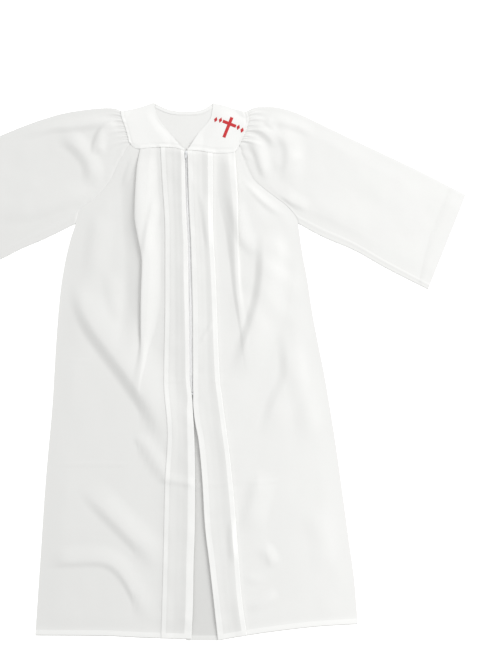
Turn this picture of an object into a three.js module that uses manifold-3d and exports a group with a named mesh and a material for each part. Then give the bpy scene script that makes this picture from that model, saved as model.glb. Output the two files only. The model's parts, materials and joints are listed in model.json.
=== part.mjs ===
// A confirmation robe laid flat on its back: two fronts closed by a zip, a yoke, and two wide sleeves.
// Millimetres, +Z up. X runs to the wearer's left, Y to the neck, and the robe lies on z = 0.
import * as THREE from 'three';
import { mergeVertices } from 'three/addons/utils/BufferGeometryUtils.js';
import Module from 'manifold-3d';

// ------------------------------------------------------------------ cloth layers
const WALL = 1.0; // thickness of every cloth wall
const SEAM_GAP = 0.3; // clear space between two pieces that are sewn together
const LAYER = WALL + SEAM_GAP; // from the middle of one layer to the middle of the next
const FLOOR_LEVEL = WALL / 2; // middle of the cloth that lies on the surface
const FRONT_LEVEL = FLOOR_LEVEL + LAYER; // middle of the cloth that lies on the back
const TURN_REACH = LAYER / 2; // how far a sharp fold rounds out past its own line
const HEM_DEPTH = 12; // turned-up hem of the skirt
const HEM_RISE = 0.6; // what the turned-up layer adds to the wall
const CUFF_HEM_SHARE = 0.93; // where the sleeve's hem begins, along the sleeve

// ------------------------------------------------------------------ main sizes
const HEM_Y = -632; // bottom hem, where it meets the side seams
const YOKE_SEAM_Y = 548; // seam under the yoke, where fronts and armholes meet
const UNDERARM_Y = 355; // where side seam, armhole and sleeve seam meet
const YOKE_LAP = 5; // how far the yoke's edge stands over the seam
const YOKE_LEVEL = 5.9; // middle of the front yoke where it lies on pleats and gathers
const SLEEVE_HEAD_LEVEL = 4.4; // middle of the front yoke over the sleeve head
const TUCK_WIDTH = 12; // width of the pressed tuck
const PLEAT_LIFT = 2.3; // height of each layer in the deep pleat, away from the yoke
const ZIP_TOP_Y = 531;
const ZIP_END_Y = -50;
const TAPE_WIDTH = 12;
const CHAIN_WIDTH = 3.6;
const CHAIN_HEIGHT = 1.8;
const ZIP_BULK = LAYER; // how much the tapes lift the front edges
const GATHER_HEIGHT_AT_SEAM = 1.0; // height of a gather where it is sewn down

// Outlines. Each side has its own tables, because the robe doesn't lie evenly. A row is one station.
// A front edge's turned is the width that is turned under. The pleat's depth is how far its layers lap.
// A negative depth is the width of the slope that it opens to.
const RIGHT = {
  sign: -1,
  sideSeam: [
    { y: -632, x: -359 }, { y: -469, x: -348 }, { y: -262, x: -334 }, { y: -68, x: -317 },
    { y: 52, x: -310 }, { y: 179, x: -300 }, { y: 249, x: -290 }, { y: 319, x: -274 }, { y: 355, x: -262 },
  ],
  armhole: [
    { y: 355, x: -262 }, { y: 389, x: -251 }, { y: 408, x: -226 }, { y: 429, x: -202 },
    { y: 463, x: -176 }, { y: 506, x: -156 }, { y: 548, x: -131 },
  ],
  frontEdge: [
    { y: 543, x: -1.5, turned: 9 }, { y: 496, x: 0, turned: 9 }, { y: 412, x: 1.6, turned: 10 },
    { y: 364, x: 3, turned: 10 }, { y: 316, x: 6, turned: 11 }, { y: 220, x: 7.5, turned: 11 },
    { y: 124, x: 9, turned: 10 }, { y: 0, x: 9.3, turned: 8 }, { y: -30, x: 12, turned: 9 },
    { y: -54, x: 15.8, turned: 10 }, { y: -70, x: 17.8, turned: 12 }, { y: -92, x: 19, turned: 15 },
    { y: -164, x: 22.5, turned: 18 }, { y: -260, x: 24, turned: 18 }, { y: -356, x: 23.5, turned: 20 },
    { y: -452, x: 20.5, turned: 20 }, { y: -548, x: 19, turned: 20 }, { y: -639, x: 15, turned: 20 },
  ],
  tuckEdge: [
    { y: 543, x: -58 }, { y: 478, x: -55 }, { y: 329, x: -47 }, { y: 180, x: -47 }, { y: -20, x: -50 },
    { y: -149, x: -41 }, { y: -260, x: -47 }, { y: -468, x: -52 }, { y: -639, x: -57 },
  ],
  pleat: [
    { y: 543, x: -107, depth: 22, lift: 1 }, { y: 472, x: -115, depth: 24, lift: 1 },
    { y: 376, x: -119, depth: 22, lift: 1 }, { y: 323, x: -111, depth: 18, lift: 1 },
    { y: 263, x: -101, depth: 14, lift: 1 }, { y: 196, x: -103, depth: 12, lift: 1 },
    { y: 103, x: -107, depth: 8, lift: 1 }, { y: 40, x: -112, depth: -14, lift: 0.9 },
    { y: -40, x: -125, depth: -26, lift: 0.4 }, { y: -120, x: -132, depth: -30, lift: 0 },
    { y: -639, x: -150, depth: -30, lift: 0 },
  ],
  hem: [{ x: -359, y: -631 }, { x: -204, y: -632 }, { x: -91, y: -637 }, { x: 14, y: -640 }],
  yokeSeam: [
    { x: -131, y: 548 }, { x: -113, y: 541 }, { x: -75, y: 543 }, { x: -29, y: 543 }, { x: 0, y: 537 },
  ],
  shoulder: [{ x: -75, y: 646 }, { x: -112, y: 634 }, { x: -154, y: 625 }],
  yokeOuter: [{ x: -154, y: 625 }, { x: -153, y: 614 }, { x: -142, y: 582 }, { x: -134, y: 551 }],
  yokeLower: [
    { x: -1.5, y: 531.5 }, { x: -29, y: 538 }, { x: -75, y: 538 }, { x: -112, y: 535 }, { x: -124, y: 540 },
    { x: -134, y: 551 },
  ],
  yokeNeck: [
    { x: -75, y: 646 }, { x: -71, y: 628 }, { x: -64, y: 609 }, { x: -46, y: 583 }, { x: -26, y: 560 },
    { x: -1.5, y: 531.5 },
  ],
  sleeveTop: [
    { x: -149, y: 624 }, { x: -169, y: 631 }, { x: -196, y: 632 }, { x: -246, y: 627 }, { x: -300, y: 617 },
    { x: -370, y: 595 }, { x: -444, y: 565 }, { x: -564, y: 511 }, { x: -674, y: 458 },
  ],
  sleeveLower: [
    { x: -262, y: 355 }, { x: -330, y: 322 }, { x: -394, y: 295 }, { x: -450, y: 268 }, { x: -516, y: 250 },
    { x: -581, y: 230 },
  ],
};
const LEFT = {
  sign: 1,
  sideSeam: [
    { y: -632, x: 415 }, { y: -529, x: 407 }, { y: -428, x: 394 }, { y: -308, x: 379 }, { y: -164, x: 360 },
    { y: -8, x: 335 }, { y: 62, x: 321 }, { y: 141, x: 306 }, { y: 220, x: 294 }, { y: 290, x: 281 },
    { y: 355, x: 272 },
  ],
  armhole: [
    { y: 355, x: 272 }, { y: 376, x: 262 }, { y: 399, x: 242 }, { y: 431, x: 199 }, { y: 463, x: 162 },
    { y: 496, x: 146 }, { y: 548, x: 129 },
  ],
  frontEdge: [
    { y: 543, x: 5.5, turned: 12 }, { y: 496, x: 7, turned: 12 }, { y: 412, x: 9.6, turned: 12 },
    { y: 364, x: 12, turned: 11 }, { y: 316, x: 14.4, turned: 11 }, { y: 220, x: 17, turned: 13 },
    { y: 124, x: 19, turned: 12 }, { y: 0, x: 19.5, turned: 12 }, { y: -30, x: 19.4, turned: 13 },
    { y: -54, x: 19.9, turned: 13 }, { y: -70, x: 19.6, turned: 13 }, { y: -92, x: 21, turned: 13 },
    { y: -115, x: 23.8, turned: 13 }, { y: -164, x: 33, turned: 14 }, { y: -260, x: 42, turned: 15 },
    { y: -356, x: 47.5, turned: 15 }, { y: -452, x: 59, turned: 15 }, { y: -548, x: 70, turned: 16 },
    { y: -639, x: 80, turned: 16 },
  ],
  tuckEdge: [
    { y: 543, x: 67 }, { y: 364, x: 70 }, { y: 230, x: 76 }, { y: -17, x: 85 }, { y: -58, x: 90 },
    { y: -227, x: 110 }, { y: -428, x: 127 }, { y: -533, x: 135 }, { y: -639, x: 149 },
  ],
  pleat: [
    { y: 543, x: 118, depth: 14, lift: 1 }, { y: 472, x: 122, depth: 14, lift: 1 },
    { y: 408, x: 126, depth: 10, lift: 1 }, { y: 335, x: 130, depth: -12, lift: 0.9 },
    { y: 220, x: 134, depth: -22, lift: 0.4 }, { y: 90, x: 150, depth: -28, lift: 0 },
    { y: -639, x: 240, depth: -28, lift: 0 },
  ],
  hem: [
    { x: 80, y: -643 }, { x: 144, y: -632 }, { x: 228, y: -620 }, { x: 329, y: -609 }, { x: 415, y: -604 },
  ],
  yokeSeam: [
    { x: 0, y: 537 }, { x: 38, y: 535 }, { x: 66, y: 530 }, { x: 112, y: 531 }, { x: 122, y: 540 },
    { x: 129, y: 548 },
  ],
  shoulder: [{ x: 67, y: 645 }, { x: 96, y: 639 }, { x: 118, y: 631 }, { x: 148, y: 624 }],
  yokeOuter: [
    { x: 148, y: 624 }, { x: 153, y: 611 }, { x: 152, y: 596 }, { x: 144, y: 572 }, { x: 132, y: 546 },
  ],
  yokeLower: [
    { x: 5.5, y: 531.5 }, { x: 38, y: 530 }, { x: 66, y: 525 }, { x: 112, y: 525.5 }, { x: 124, y: 533 },
    { x: 132, y: 546 },
  ],
  yokeNeck: [
    { x: 67, y: 645 }, { x: 66, y: 630 }, { x: 61, y: 608 }, { x: 48, y: 590 }, { x: 32, y: 572 },
    { x: 5.5, y: 531.5 },
  ],
  sleeveTop: [
    { x: 145, y: 622 }, { x: 157, y: 629 }, { x: 177, y: 635 }, { x: 222, y: 634 }, { x: 262, y: 623 },
    { x: 301, y: 606 }, { x: 361, y: 577 }, { x: 460, y: 530 }, { x: 559, y: 483 }, { x: 674, y: 424 },
  ],
  sleeveLower: [
    { x: 272, y: 355 }, { x: 330, y: 324 }, { x: 408, y: 291 }, { x: 486, y: 248 }, { x: 584, y: 199 },
  ],
};
// Gathers of each sleeve head, from the shoulder down: width along the seam in parts of the whole,
// height away from the seam, and length as a share of the sleeve.
RIGHT.gathers = [
  { width: 1.2, height: 3.0, length: 0.16 }, { width: 0.8, height: 4.4, length: 0.27 },
  { width: 1.1, height: 3.2, length: 0.14 }, { width: 0.9, height: 5.0, length: 0.3 },
  { width: 0.8, height: 3.4, length: 0.17 }, { width: 1.2, height: 4.6, length: 0.25 },
];
LEFT.gathers = [
  { width: 0.9, height: 3.8, length: 0.2 }, { width: 1.2, height: 3.0, length: 0.13 },
  { width: 0.8, height: 5.0, length: 0.28 }, { width: 1.0, height: 3.4, length: 0.15 },
  { width: 0.9, height: 4.6, length: 0.3 }, { width: 1.2, height: 3.6, length: 0.18 },
];
const BACK_NECK = [
  { x: -75, y: 646 }, { x: -60, y: 638 }, { x: -41, y: 630 }, { x: -22, y: 626 }, { x: 0, y: 625 },
  { x: 29, y: 626 }, { x: 50, y: 633 }, { x: 67, y: 645 },
];

// Soft folds. Each crest runs through three points; steep and gentle are the widths of its two flanks,
// with the steep one on the right-hand side of someone who walks along the crest.
RIGHT.folds = [
  { from: [-266, 235], via: [-170, 30], to: [-36, -170], height: 12, steep: 40, gentle: 84 },
  { from: [-257, -265], via: [-150, -375], to: [-44, -488], height: 7, steep: 34, gentle: 50 },
  { from: [-340, -462], via: [-160, -420], to: [-94, -600], height: 6, steep: 30, gentle: 46 },
  { from: [-70, 440], via: [-82, 360], to: [-100, 262], height: 4, steep: 20, gentle: 24 },
];
LEFT.folds = [
  { from: [98, 465], via: [112, 340], to: [172, 282], height: 5, steep: 24, gentle: 26 },
  { from: [190, 350], via: [200, 167], to: [118, -24], height: 9, steep: 30, gentle: 70 },
  { from: [250, 150], via: [244, -30], to: [188, -170], height: 6, steep: 34, gentle: 56 },
  { from: [190, -230], via: [160, -320], to: [140, -410], height: 6, steep: 30, gentle: 46 },
  { from: [150, -578], via: [188, -560], to: [228, -536], height: 4, steep: 26, gentle: 32 },
];
RIGHT.sleeveFolds = [
  { from: [-280, 560], via: [-212, 520], to: [-212, 440], height: 8, steep: 36, gentle: 34 },
  { from: [-216, 442], via: [-300, 412], to: [-400, 396], height: 6, steep: 46, gentle: 36 },
  { from: [-300, 575], via: [-390, 545], to: [-470, 500], height: 5, steep: 44, gentle: 50 },
];
LEFT.sleeveFolds = [
  { from: [160, 585], via: [196, 560], to: [196, 470], height: 8, steep: 30, gentle: 44 },
  { from: [215, 585], via: [262, 540], to: [262, 460], height: 6, steep: 34, gentle: 50 },
  { from: [300, 420], via: [400, 380], to: [500, 330], height: 5, steep: 44, gentle: 50 },
];

// ------------------------------------------------------------------ small maths
const clamp01 = (value) => Math.min(1, Math.max(0, value));
const blend = (a, b, share) => a + (b - a) * share;
const smooth = (value) => clamp01(value) ** 2 * (3 - 2 * clamp01(value));

// Reads a column of a table at a place between its rows, on straight lines.
function readTable(rows, place, key, column) {
  const ordered = [...rows].sort((a, b) => a[key] - b[key]);
  const last = ordered.length - 1;
  if (place <= ordered[0][key]) return ordered[0][column];
  if (place >= ordered[last][key]) return ordered[last][column];
  const next = ordered.findIndex((row) => row[key] > place);
  const before = ordered[next - 1];
  const share = (place - before[key]) / (ordered[next][key] - before[key]);
  return blend(before[column], ordered[next][column], share);
}

// A smooth outline through the rows of a table, as evenly spaced points.
function outline(rows, count) {
  const curve = new THREE.SplineCurve(rows.map((row) => new THREE.Vector2(row.x, row.y)));
  return curve.getSpacedPoints(count);
}

// The point at a share of a list of points, on straight lines.
function along(points, share) {
  const place = clamp01(share) * (points.length - 1);
  const index = Math.min(points.length - 2, Math.floor(place));
  return points[index].clone().lerp(points[index + 1], place - index);
}

// Height of one soft fold at (x, y): a rounded ridge that fades out at both ends.
const FOLD_STEPS = 24;
const FOLD_FADE = 0.28;
function foldHeight(fold, x, y) {
  const crest = new THREE.QuadraticBezierCurve(
    new THREE.Vector2(...fold.from),
    new THREE.Vector2(...fold.via),
    new THREE.Vector2(...fold.to),
  );
  let nearest = { distance: Infinity, share: 0, side: 1 };
  for (let step = 0; step <= FOLD_STEPS; step += 1) {
    const share = step / FOLD_STEPS;
    const point = crest.getPoint(share);
    const distance = Math.hypot(x - point.x, y - point.y);
    if (distance < nearest.distance) {
      const tangent = crest.getTangent(share);
      const side = tangent.x * (y - point.y) - tangent.y * (x - point.x);
      nearest = { distance, share, side };
    }
  }
  const width = nearest.side < 0 ? fold.steep : fold.gentle;
  const across = smooth(1 - nearest.distance / width);
  const ends = smooth(nearest.share / FOLD_FADE) * smooth((1 - nearest.share) / FOLD_FADE);
  return fold.height * across * ends;
}

const foldsHeight = (folds, x, y) => folds.reduce((sum, fold) => sum + foldHeight(fold, x, y), 0);

// ------------------------------------------------------------------ cloth walls
// Gives a sheet of middle points its thickness and closes it. grid[row][column] are THREE.Vector3.
// With closed set, the last column joins the first, so the sheet is a tube. extra(row, column, up)
// adds to the outer side. The outer side is the one that the normals of rows and columns point to.
function clothWall(grid, { closed = false, extra = () => 0, turned = false } = {}) {
  const rows = grid.length;
  const columns = grid[0].length;
  const outer = [];
  const inner = [];
  const at = (row, column) => {
    const safeRow = Math.min(rows - 1, Math.max(0, row));
    const wrapped = closed ? (column + columns) % columns : Math.min(columns - 1, Math.max(0, column));
    return grid[safeRow][wrapped];
  };
  const direction = (a, b) => b.clone().sub(a).normalize();
  for (let row = 0; row < rows; row += 1) {
    for (let column = 0; column < columns; column += 1) {
      const here = at(row, column);
      const acrossWay = direction(at(row, column - 1), here).add(direction(here, at(row, column + 1)));
      const downWay = direction(at(row - 1, column), here).add(direction(here, at(row + 1, column)));
      const normal = acrossWay.cross(downWay).normalize().multiplyScalar(turned ? -1 : 1);
      const reach = WALL / 2 + extra(row, column, normal.z > 0);
      outer.push(here.clone().addScaledVector(normal, reach));
      inner.push(here.clone().addScaledVector(normal, -WALL / 2));
    }
  }
  const index = (row, column) => row * columns + (column % columns);
  const shift = outer.length;
  const faces = [];
  const quad = (a, b, c, d, flip) => {
    if (flip) faces.push([a, b, d], [b, c, d]);
    else faces.push([a, b, c], [a, c, d]);
  };
  const lastColumn = closed ? columns : columns - 1;
  for (let row = 0; row < rows - 1; row += 1) {
    for (let column = 0; column < lastColumn; column += 1) {
      const a = index(row, column);
      const b = index(row, column + 1);
      const c = index(row + 1, column + 1);
      const d = index(row + 1, column);
      const runsBack = !closed && (at(row, column + 1).x - at(row, column).x) * grid.way < 0;
      quad(a, b, c, d, runsBack);
      quad(a + shift, d + shift, c + shift, b + shift, runsBack);
    }
  }
  for (let column = 0; column < lastColumn; column += 1) {
    const top = [index(0, column), index(0, column + 1)];
    const end = [index(rows - 1, column), index(rows - 1, column + 1)];
    quad(top[1], top[0], top[0] + shift, top[1] + shift, false);
    quad(end[0], end[1], end[1] + shift, end[0] + shift, false);
  }
  for (let row = 0; row < rows - 1 && !closed; row += 1) {
    const first = [index(row, 0), index(row + 1, 0)];
    const final = [index(row, columns - 1), index(row + 1, columns - 1)];
    quad(first[0], first[1], first[1] + shift, first[0] + shift, false);
    quad(final[1], final[0], final[0] + shift, final[1] + shift, false);
  }
  return solidOf([...outer, ...inner], faces, turned);
}

// A mesh geometry from points and triangles, turned inside out where its order asks for it.
function solidOf(points, faces, turned) {
  const geometry = new THREE.BufferGeometry();
  const ordered = turned ? faces.map(([a, b, c]) => [a, c, b]) : faces;
  const places = points.flatMap((point) => [point.x, point.y, point.z]);
  geometry.setAttribute('position', new THREE.Float32BufferAttribute(places, 3));
  geometry.setIndex(ordered.flat());
  geometry.computeVertexNormals();
  return geometry;
}

// ------------------------------------------------------------------ outer edges
// X of the side seam and armhole at a height along the robe.
function outerEdge(side, y) {
  return y < UNDERARM_Y ? readTable(side.sideSeam, y, 'y', 'x') : readTable(side.armhole, y, 'y', 'x');
}

// ------------------------------------------------------------------ fronts
const UPPER_ROWS = [530, 485]; // sections between those at the armhole's own points
const LOWER_ROWS = [325, 270, 210, 150, 85, 20, -45, -110, -175, -240, -310, -385, -460, -530, -590];
const OUTER_COLUMNS = 9;
const BAND_COLUMNS = 2;
const MIDDLE_COLUMNS = 2;
const EASE = 14; // how far a raised fold takes to come down again
const FIELD_EDGE_FADE = 40; // the fronts lie down on the back along their outer edges
const YOKE_FADE = 60; // and near the yoke seam
const ZIP_LIFT_REACH = 36; // from the front edge, how far the zip's tape lifts the cloth

// Layers of a lapped fold, in cloth order from the middle of the robe: how far each point is set back
// from the fold's edge as a share of its depth, its step beside that, and the layer it lies on.
// Covered points lie under another layer, so no hem is added on top of them.
const LAPPED_FOLD = [
  { setBack: 1, beside: -EASE, layer: 0 }, { setBack: 1, beside: 0, layer: 2 },
  { setBack: 0, beside: 0, layer: 2 }, { setBack: 0, beside: 'out', layer: 1.5 },
  { setBack: 0, beside: 0, layer: 1 }, { setBack: 1, beside: 0, layer: 1 },
  { setBack: 1, beside: 'in', layer: 0.5 }, { setBack: 1, beside: 0, layer: 0, covered: true },
  { setBack: 0, beside: 0, layer: 0, covered: true },
];
// The same points where the fold has opened: a ridge at its edge, and a slope out to its width.
const OPEN_FOLD = [
  { setBack: 0, beside: -EASE, layer: 0 }, { setBack: 0, beside: -EASE / 3, layer: 1.8 },
  { setBack: 0, beside: 0, layer: 2 }, { setBack: 0.2, beside: 0, layer: 1.8 },
  { setBack: 0.4, beside: 0, layer: 1.3 }, { setBack: 0.6, beside: 0, layer: 0.7 },
  { setBack: 0.8, beside: 0, layer: 0.2 }, { setBack: 1, beside: 0, layer: 0 },
  { setBack: 1.3, beside: 0, layer: 0 },
];
const LEAST_DEPTH = 4; // keeps the points of a fold apart where it goes from lapped to open

// Points of a fold whose edge is at distance edge from the middle of the robe.
function foldStations(edge, depth, lift) {
  const table = depth > 0 ? LAPPED_FOLD : OPEN_FOLD;
  const width = Math.max(Math.abs(depth), LEAST_DEPTH) * Math.sign(depth);
  return table.map((station) => {
    const beside = { out: lift / 2, in: -lift / 2 }[station.beside] ?? station.beside;
    const { layer, covered = false } = station;
    return { q: edge - station.setBack * width + beside, rise: lift * layer, covered };
  });
}

// One cross-section of a front, from its turned-under edge out to the side seam.
function frontSection(side, y) {
  const at = (table, column = 'x') => readTable(table, y, 'y', column);
  const edge = at(side.frontEdge) * side.sign;
  const tuck = at(side.tuckEdge) * side.sign;
  const pleat = at(side.pleat) * side.sign;
  const outer = outerEdge(side, y) * side.sign;
  const lift = blend(LAYER, PLEAT_LIFT, smooth((YOKE_SEAM_Y - y) / YOKE_FADE)) * at(side.pleat, 'lift');
  const turn = edge + WALL / 2;
  const under = turn + at(side.frontEdge, 'turned');
  const stations = [
    { q: under, rise: 0 }, { q: turn + TURN_REACH, rise: 0 }, { q: turn, rise: LAYER / 2 },
    { q: turn + TURN_REACH, rise: LAYER }, { q: under, rise: LAYER },
  ];
  const spread = (from, to, count) => {
    for (let step = 1; step <= count; step += 1) {
      stations.push({ q: blend(from, to, step / (count + 1)), rise: 0 });
    }
  };
  const tuckStations = foldStations(tuck, TUCK_WIDTH, LAYER);
  const pleatStations = foldStations(pleat, at(side.pleat, 'depth'), lift);
  spread(under, tuckStations[0].q, BAND_COLUMNS);
  stations.push(...tuckStations);
  spread(tuck, pleatStations[0].q, MIDDLE_COLUMNS);
  stations.push(...pleatStations);
  const last = stations[stations.length - 1].q;
  for (let step = 1; step <= OUTER_COLUMNS; step += 1) {
    stations.push({ q: blend(last, outer, step / OUTER_COLUMNS), rise: 0 });
  }
  return stations.map((station) => ({
    ...station,
    ground: frontGround(side, station.q, y, edge, outer),
  }));
}

// How high the lowest layer of a front lies above the back at a place.
function frontGround(side, q, y, edge, outer) {
  const x = q * side.sign;
  const lieDown = smooth((outer - q) / FIELD_EDGE_FADE) * smooth((YOKE_SEAM_Y - y) / YOKE_FADE);
  const zip = y > ZIP_END_Y ? ZIP_BULK * smooth((ZIP_LIFT_REACH - (q - edge)) / EASE) : 0;
  const hem = HEM_RISE * smooth((HEM_Y + 2 * HEM_DEPTH - y) / HEM_DEPTH);
  return FRONT_LEVEL + foldsHeight(side.folds, x, y) * lieDown + zip + hem;
}

function frontPanel(side) {
  const hemRows = [HEM_Y + HEM_DEPTH + 1, HEM_Y + HEM_DEPTH, HEM_Y];
  const upper = [...side.armhole.map((row) => row.y), ...UPPER_ROWS].sort((a, b) => b - a);
  const levels = [...upper, ...LOWER_ROWS, ...hemRows];
  const sections = levels.map((y) => frontSection(side, y));
  const grid = levels.map((y, row) => sections[row].map((station) => {
    const x = station.q * side.sign;
    const hemShift = (readTable(side.hem, x, 'x', 'y') - HEM_Y) * smooth(y / HEM_Y);
    const nearYoke = smooth(1 - (YOKE_SEAM_Y - y) / YOKE_FADE);
    const seamShift = (readTable(side.yokeSeam, x, 'x', 'y') - YOKE_SEAM_Y) * nearYoke;
    return new THREE.Vector3(x, y + hemShift + seamShift, station.ground + station.rise);
  }));
  grid.way = side.sign;
  const hemStart = levels.length - 2;
  const extra = (row, column, up) => (
    row >= hemStart && up && !sections[row][column].covered ? HEM_RISE : 0
  );
  return clothWall(grid, { turned: side.sign > 0, extra });
}

// ------------------------------------------------------------------ back
const BACK_ROWS = [320, 260, 180, 90, 0, -90, -180, -270, -360, -450, -540, -600];
const BACK_COLUMNS = 10;
const BACK_DROP = 2; // the back's hem shows this much below the fronts

// Armhole points below the back yoke, from the neck down.
const yokeEnd = (side) => side.armhole.length - 2;
const armholeBelowYoke = (side) => side.armhole.slice(0, yokeEnd(side) + 1).reverse();

function backPanel() {
  const hemRows = [HEM_Y + HEM_DEPTH + 1, HEM_Y + HEM_DEPTH, HEM_Y];
  const left = armholeBelowYoke(LEFT);
  const ends = armholeBelowYoke(RIGHT).map((row, place) => [row, left[place]]);
  [...BACK_ROWS, ...hemRows].forEach((y) => {
    ends.push([{ x: outerEdge(RIGHT, y), y }, { x: outerEdge(LEFT, y), y }]);
  });
  const grid = ends.map(([from, to], row) => {
    const seam = row === 0 ? SEAM_GAP : 0;
    return Array.from({ length: BACK_COLUMNS + 1 }, (_, column) => {
      const x = blend(from.x, to.x, column / BACK_COLUMNS);
      const y = blend(from.y, to.y, column / BACK_COLUMNS) - seam;
      const line = x < 0 ? readTable(RIGHT.hem, x, 'x', 'y') : readTable(LEFT.hem, x, 'x', 'y');
      const drop = (line - HEM_Y + BACK_DROP) * smooth(y / HEM_Y);
      return new THREE.Vector3(x, y + drop, FLOOR_LEVEL);
    });
  });
  grid.way = 1;
  const hemStart = grid.length - 2;
  return clothWall(grid, { turned: true, extra: (row) => (row >= hemStart ? HEM_RISE : 0) });
}

// Columns of a sleeve's gathered part, from the shoulder down: share of the seam, and place on its gather.
const GATHER_WAVE = [0, 0.5, 1, 0.5];
function gatherColumns(side) {
  const whole = side.gathers.reduce((sum, gather) => sum + gather.width, 0);
  let before = 0;
  const columns = side.gathers.flatMap((gather) => {
    const start = before;
    before += gather.width;
    return GATHER_WAVE.map((wave, step) => {
      const share = (start + (gather.width * step) / GATHER_WAVE.length) / whole;
      return { share, wave, gather };
    });
  });
  return [...columns, { share: 1, wave: 0, gather: side.gathers.at(-1) }];
}

// The seam line of a sleeve: down the yoke's side under its lap, then down the armhole.
function sleeveSeam(side) {
  const yokePart = side.yokeOuter.map((row) => ({ x: row.x - side.sign * YOKE_LAP, y: row.y }));
  const upper = [side.sleeveTop[0], ...yokePart.slice(1, -1), side.armhole.at(-1)];
  const lower = [...side.armhole].reverse().map((row) => new THREE.Vector2(row.x, row.y));
  const curve = outline(upper, 96);
  return { upper: gatherColumns(side).map((column) => along(curve, column.share)), lower };
}

function backYoke() {
  const neck = outline(BACK_NECK, 14);
  const edgeOf = (side) => {
    const seam = sleeveSeam(side);
    return [...seam.upper.filter((_, place) => place % UNDER_STEP === 0), seam.lower[1]];
  };
  const shape = new THREE.Shape([...neck, ...edgeOf(LEFT), ...edgeOf(RIGHT).reverse()]);
  return new THREE.ExtrudeGeometry(shape, { depth: WALL, bevelEnabled: false });
}

// A narrow strip of even width along the inside of the back neck edge.
const FACING_WIDTH = 9;
const FACING_END = 0.05; // where the strip starts, as a share of the neck edge
const FACING_STEPS = 18;
function neckFacing() {
  const shape = new THREE.Shape();
  const curve = new THREE.SplineCurve(BACK_NECK.map((row) => new THREE.Vector2(row.x, row.y)));
  const upper = [];
  const lower = [];
  for (let step = 0; step <= FACING_STEPS; step += 1) {
    const share = blend(FACING_END, 1 - FACING_END, step / FACING_STEPS);
    const point = curve.getPointAt(share);
    const tangent = curve.getTangentAt(share);
    upper.push(point);
    const inward = new THREE.Vector2(tangent.y, -tangent.x).multiplyScalar(FACING_WIDTH);
    lower.unshift(inward.add(point));
  }
  shape.setFromPoints([...upper, ...lower]);
  const geometry = new THREE.ExtrudeGeometry(shape, { depth: WALL, bevelEnabled: false });
  return geometry.translate(0, 0, LAYER);
}

// ------------------------------------------------------------------ front yokes
const YOKE_STEPS = 9;
const OVER_SLEEVE_FROM = 0.72; // part of the yoke's width where it rises over the sleeve head
const OVER_SLEEVE_WIDTH = 0.2;
const SHOULDER_EASE = 34; // from the shoulder seam, the yoke rises over the pleats in this length

// A four-sided patch between two pairs of edges, as a plan point for each share.
function patch(top, bottom, start, end, u, v) {
  const a = along(top, u).multiplyScalar(1 - v).add(along(bottom, u).multiplyScalar(v));
  const b = along(start, v).multiplyScalar(1 - u).add(along(end, v).multiplyScalar(u));
  const corners = along(top, 0).multiplyScalar((1 - u) * (1 - v))
    .add(along(top, 1).multiplyScalar(u * (1 - v)))
    .add(along(bottom, 0).multiplyScalar((1 - u) * v))
    .add(along(bottom, 1).multiplyScalar(u * v));
  return a.add(b).sub(corners);
}

function frontYoke(side) {
  const top = outline(side.shoulder, 24);
  const bottom = outline(side.yokeLower, 24);
  const neck = outline(side.yokeNeck, 24);
  const outer = outline(side.yokeOuter, 24);
  const grid = [];
  for (let row = 0; row <= YOKE_STEPS; row += 1) {
    const line = [];
    for (let column = 0; column <= YOKE_STEPS; column += 1) {
      const u = column / YOKE_STEPS;
      const v = row / YOKE_STEPS;
      const place = patch(top, bottom, neck, outer, u, v);
      const shoulder = along(top, u);
      const fromShoulder = smooth(place.distanceTo(shoulder) / SHOULDER_EASE);
      const sleeveShare = smooth((u - OVER_SLEEVE_FROM) / OVER_SLEEVE_WIDTH);
      const overSleeve = (SLEEVE_HEAD_LEVEL - FRONT_LEVEL) * sleeveShare;
      const rise = Math.max(overSleeve, (YOKE_LEVEL - FRONT_LEVEL) * fromShoulder);
      line.push(new THREE.Vector3(place.x, place.y, FRONT_LEVEL + rise));
    }
    grid.push(line);
  }
  grid.way = side.sign;
  return clothWall(grid, { turned: side.sign > 0 });
}

// ------------------------------------------------------------------ sleeves
const SLEEVE_ROWS = [0, 0.025, 0.06, 0.11, 0.18, 0.28, 0.4, 0.54, 0.7, 0.84, 0.928, CUFF_HEM_SHARE, 1];
const SEAM_PULL = 2.6; // the sleeve's own seam turns this far above the underarm
const UNDER_STEP = GATHER_WAVE.length; // the flat underside keeps one column of each gather
const GATHERED_CUFF_SHARE = 0.55; // part of the sleeve's width that the gathers take up
const GATHER_START = 0.06; // from the seam, they reach full height in this share of the sleeve
const SLEEVE_EDGE_FADE = 0.14;
const SLEEVE_SEAM_FADE = 0.1;

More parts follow.
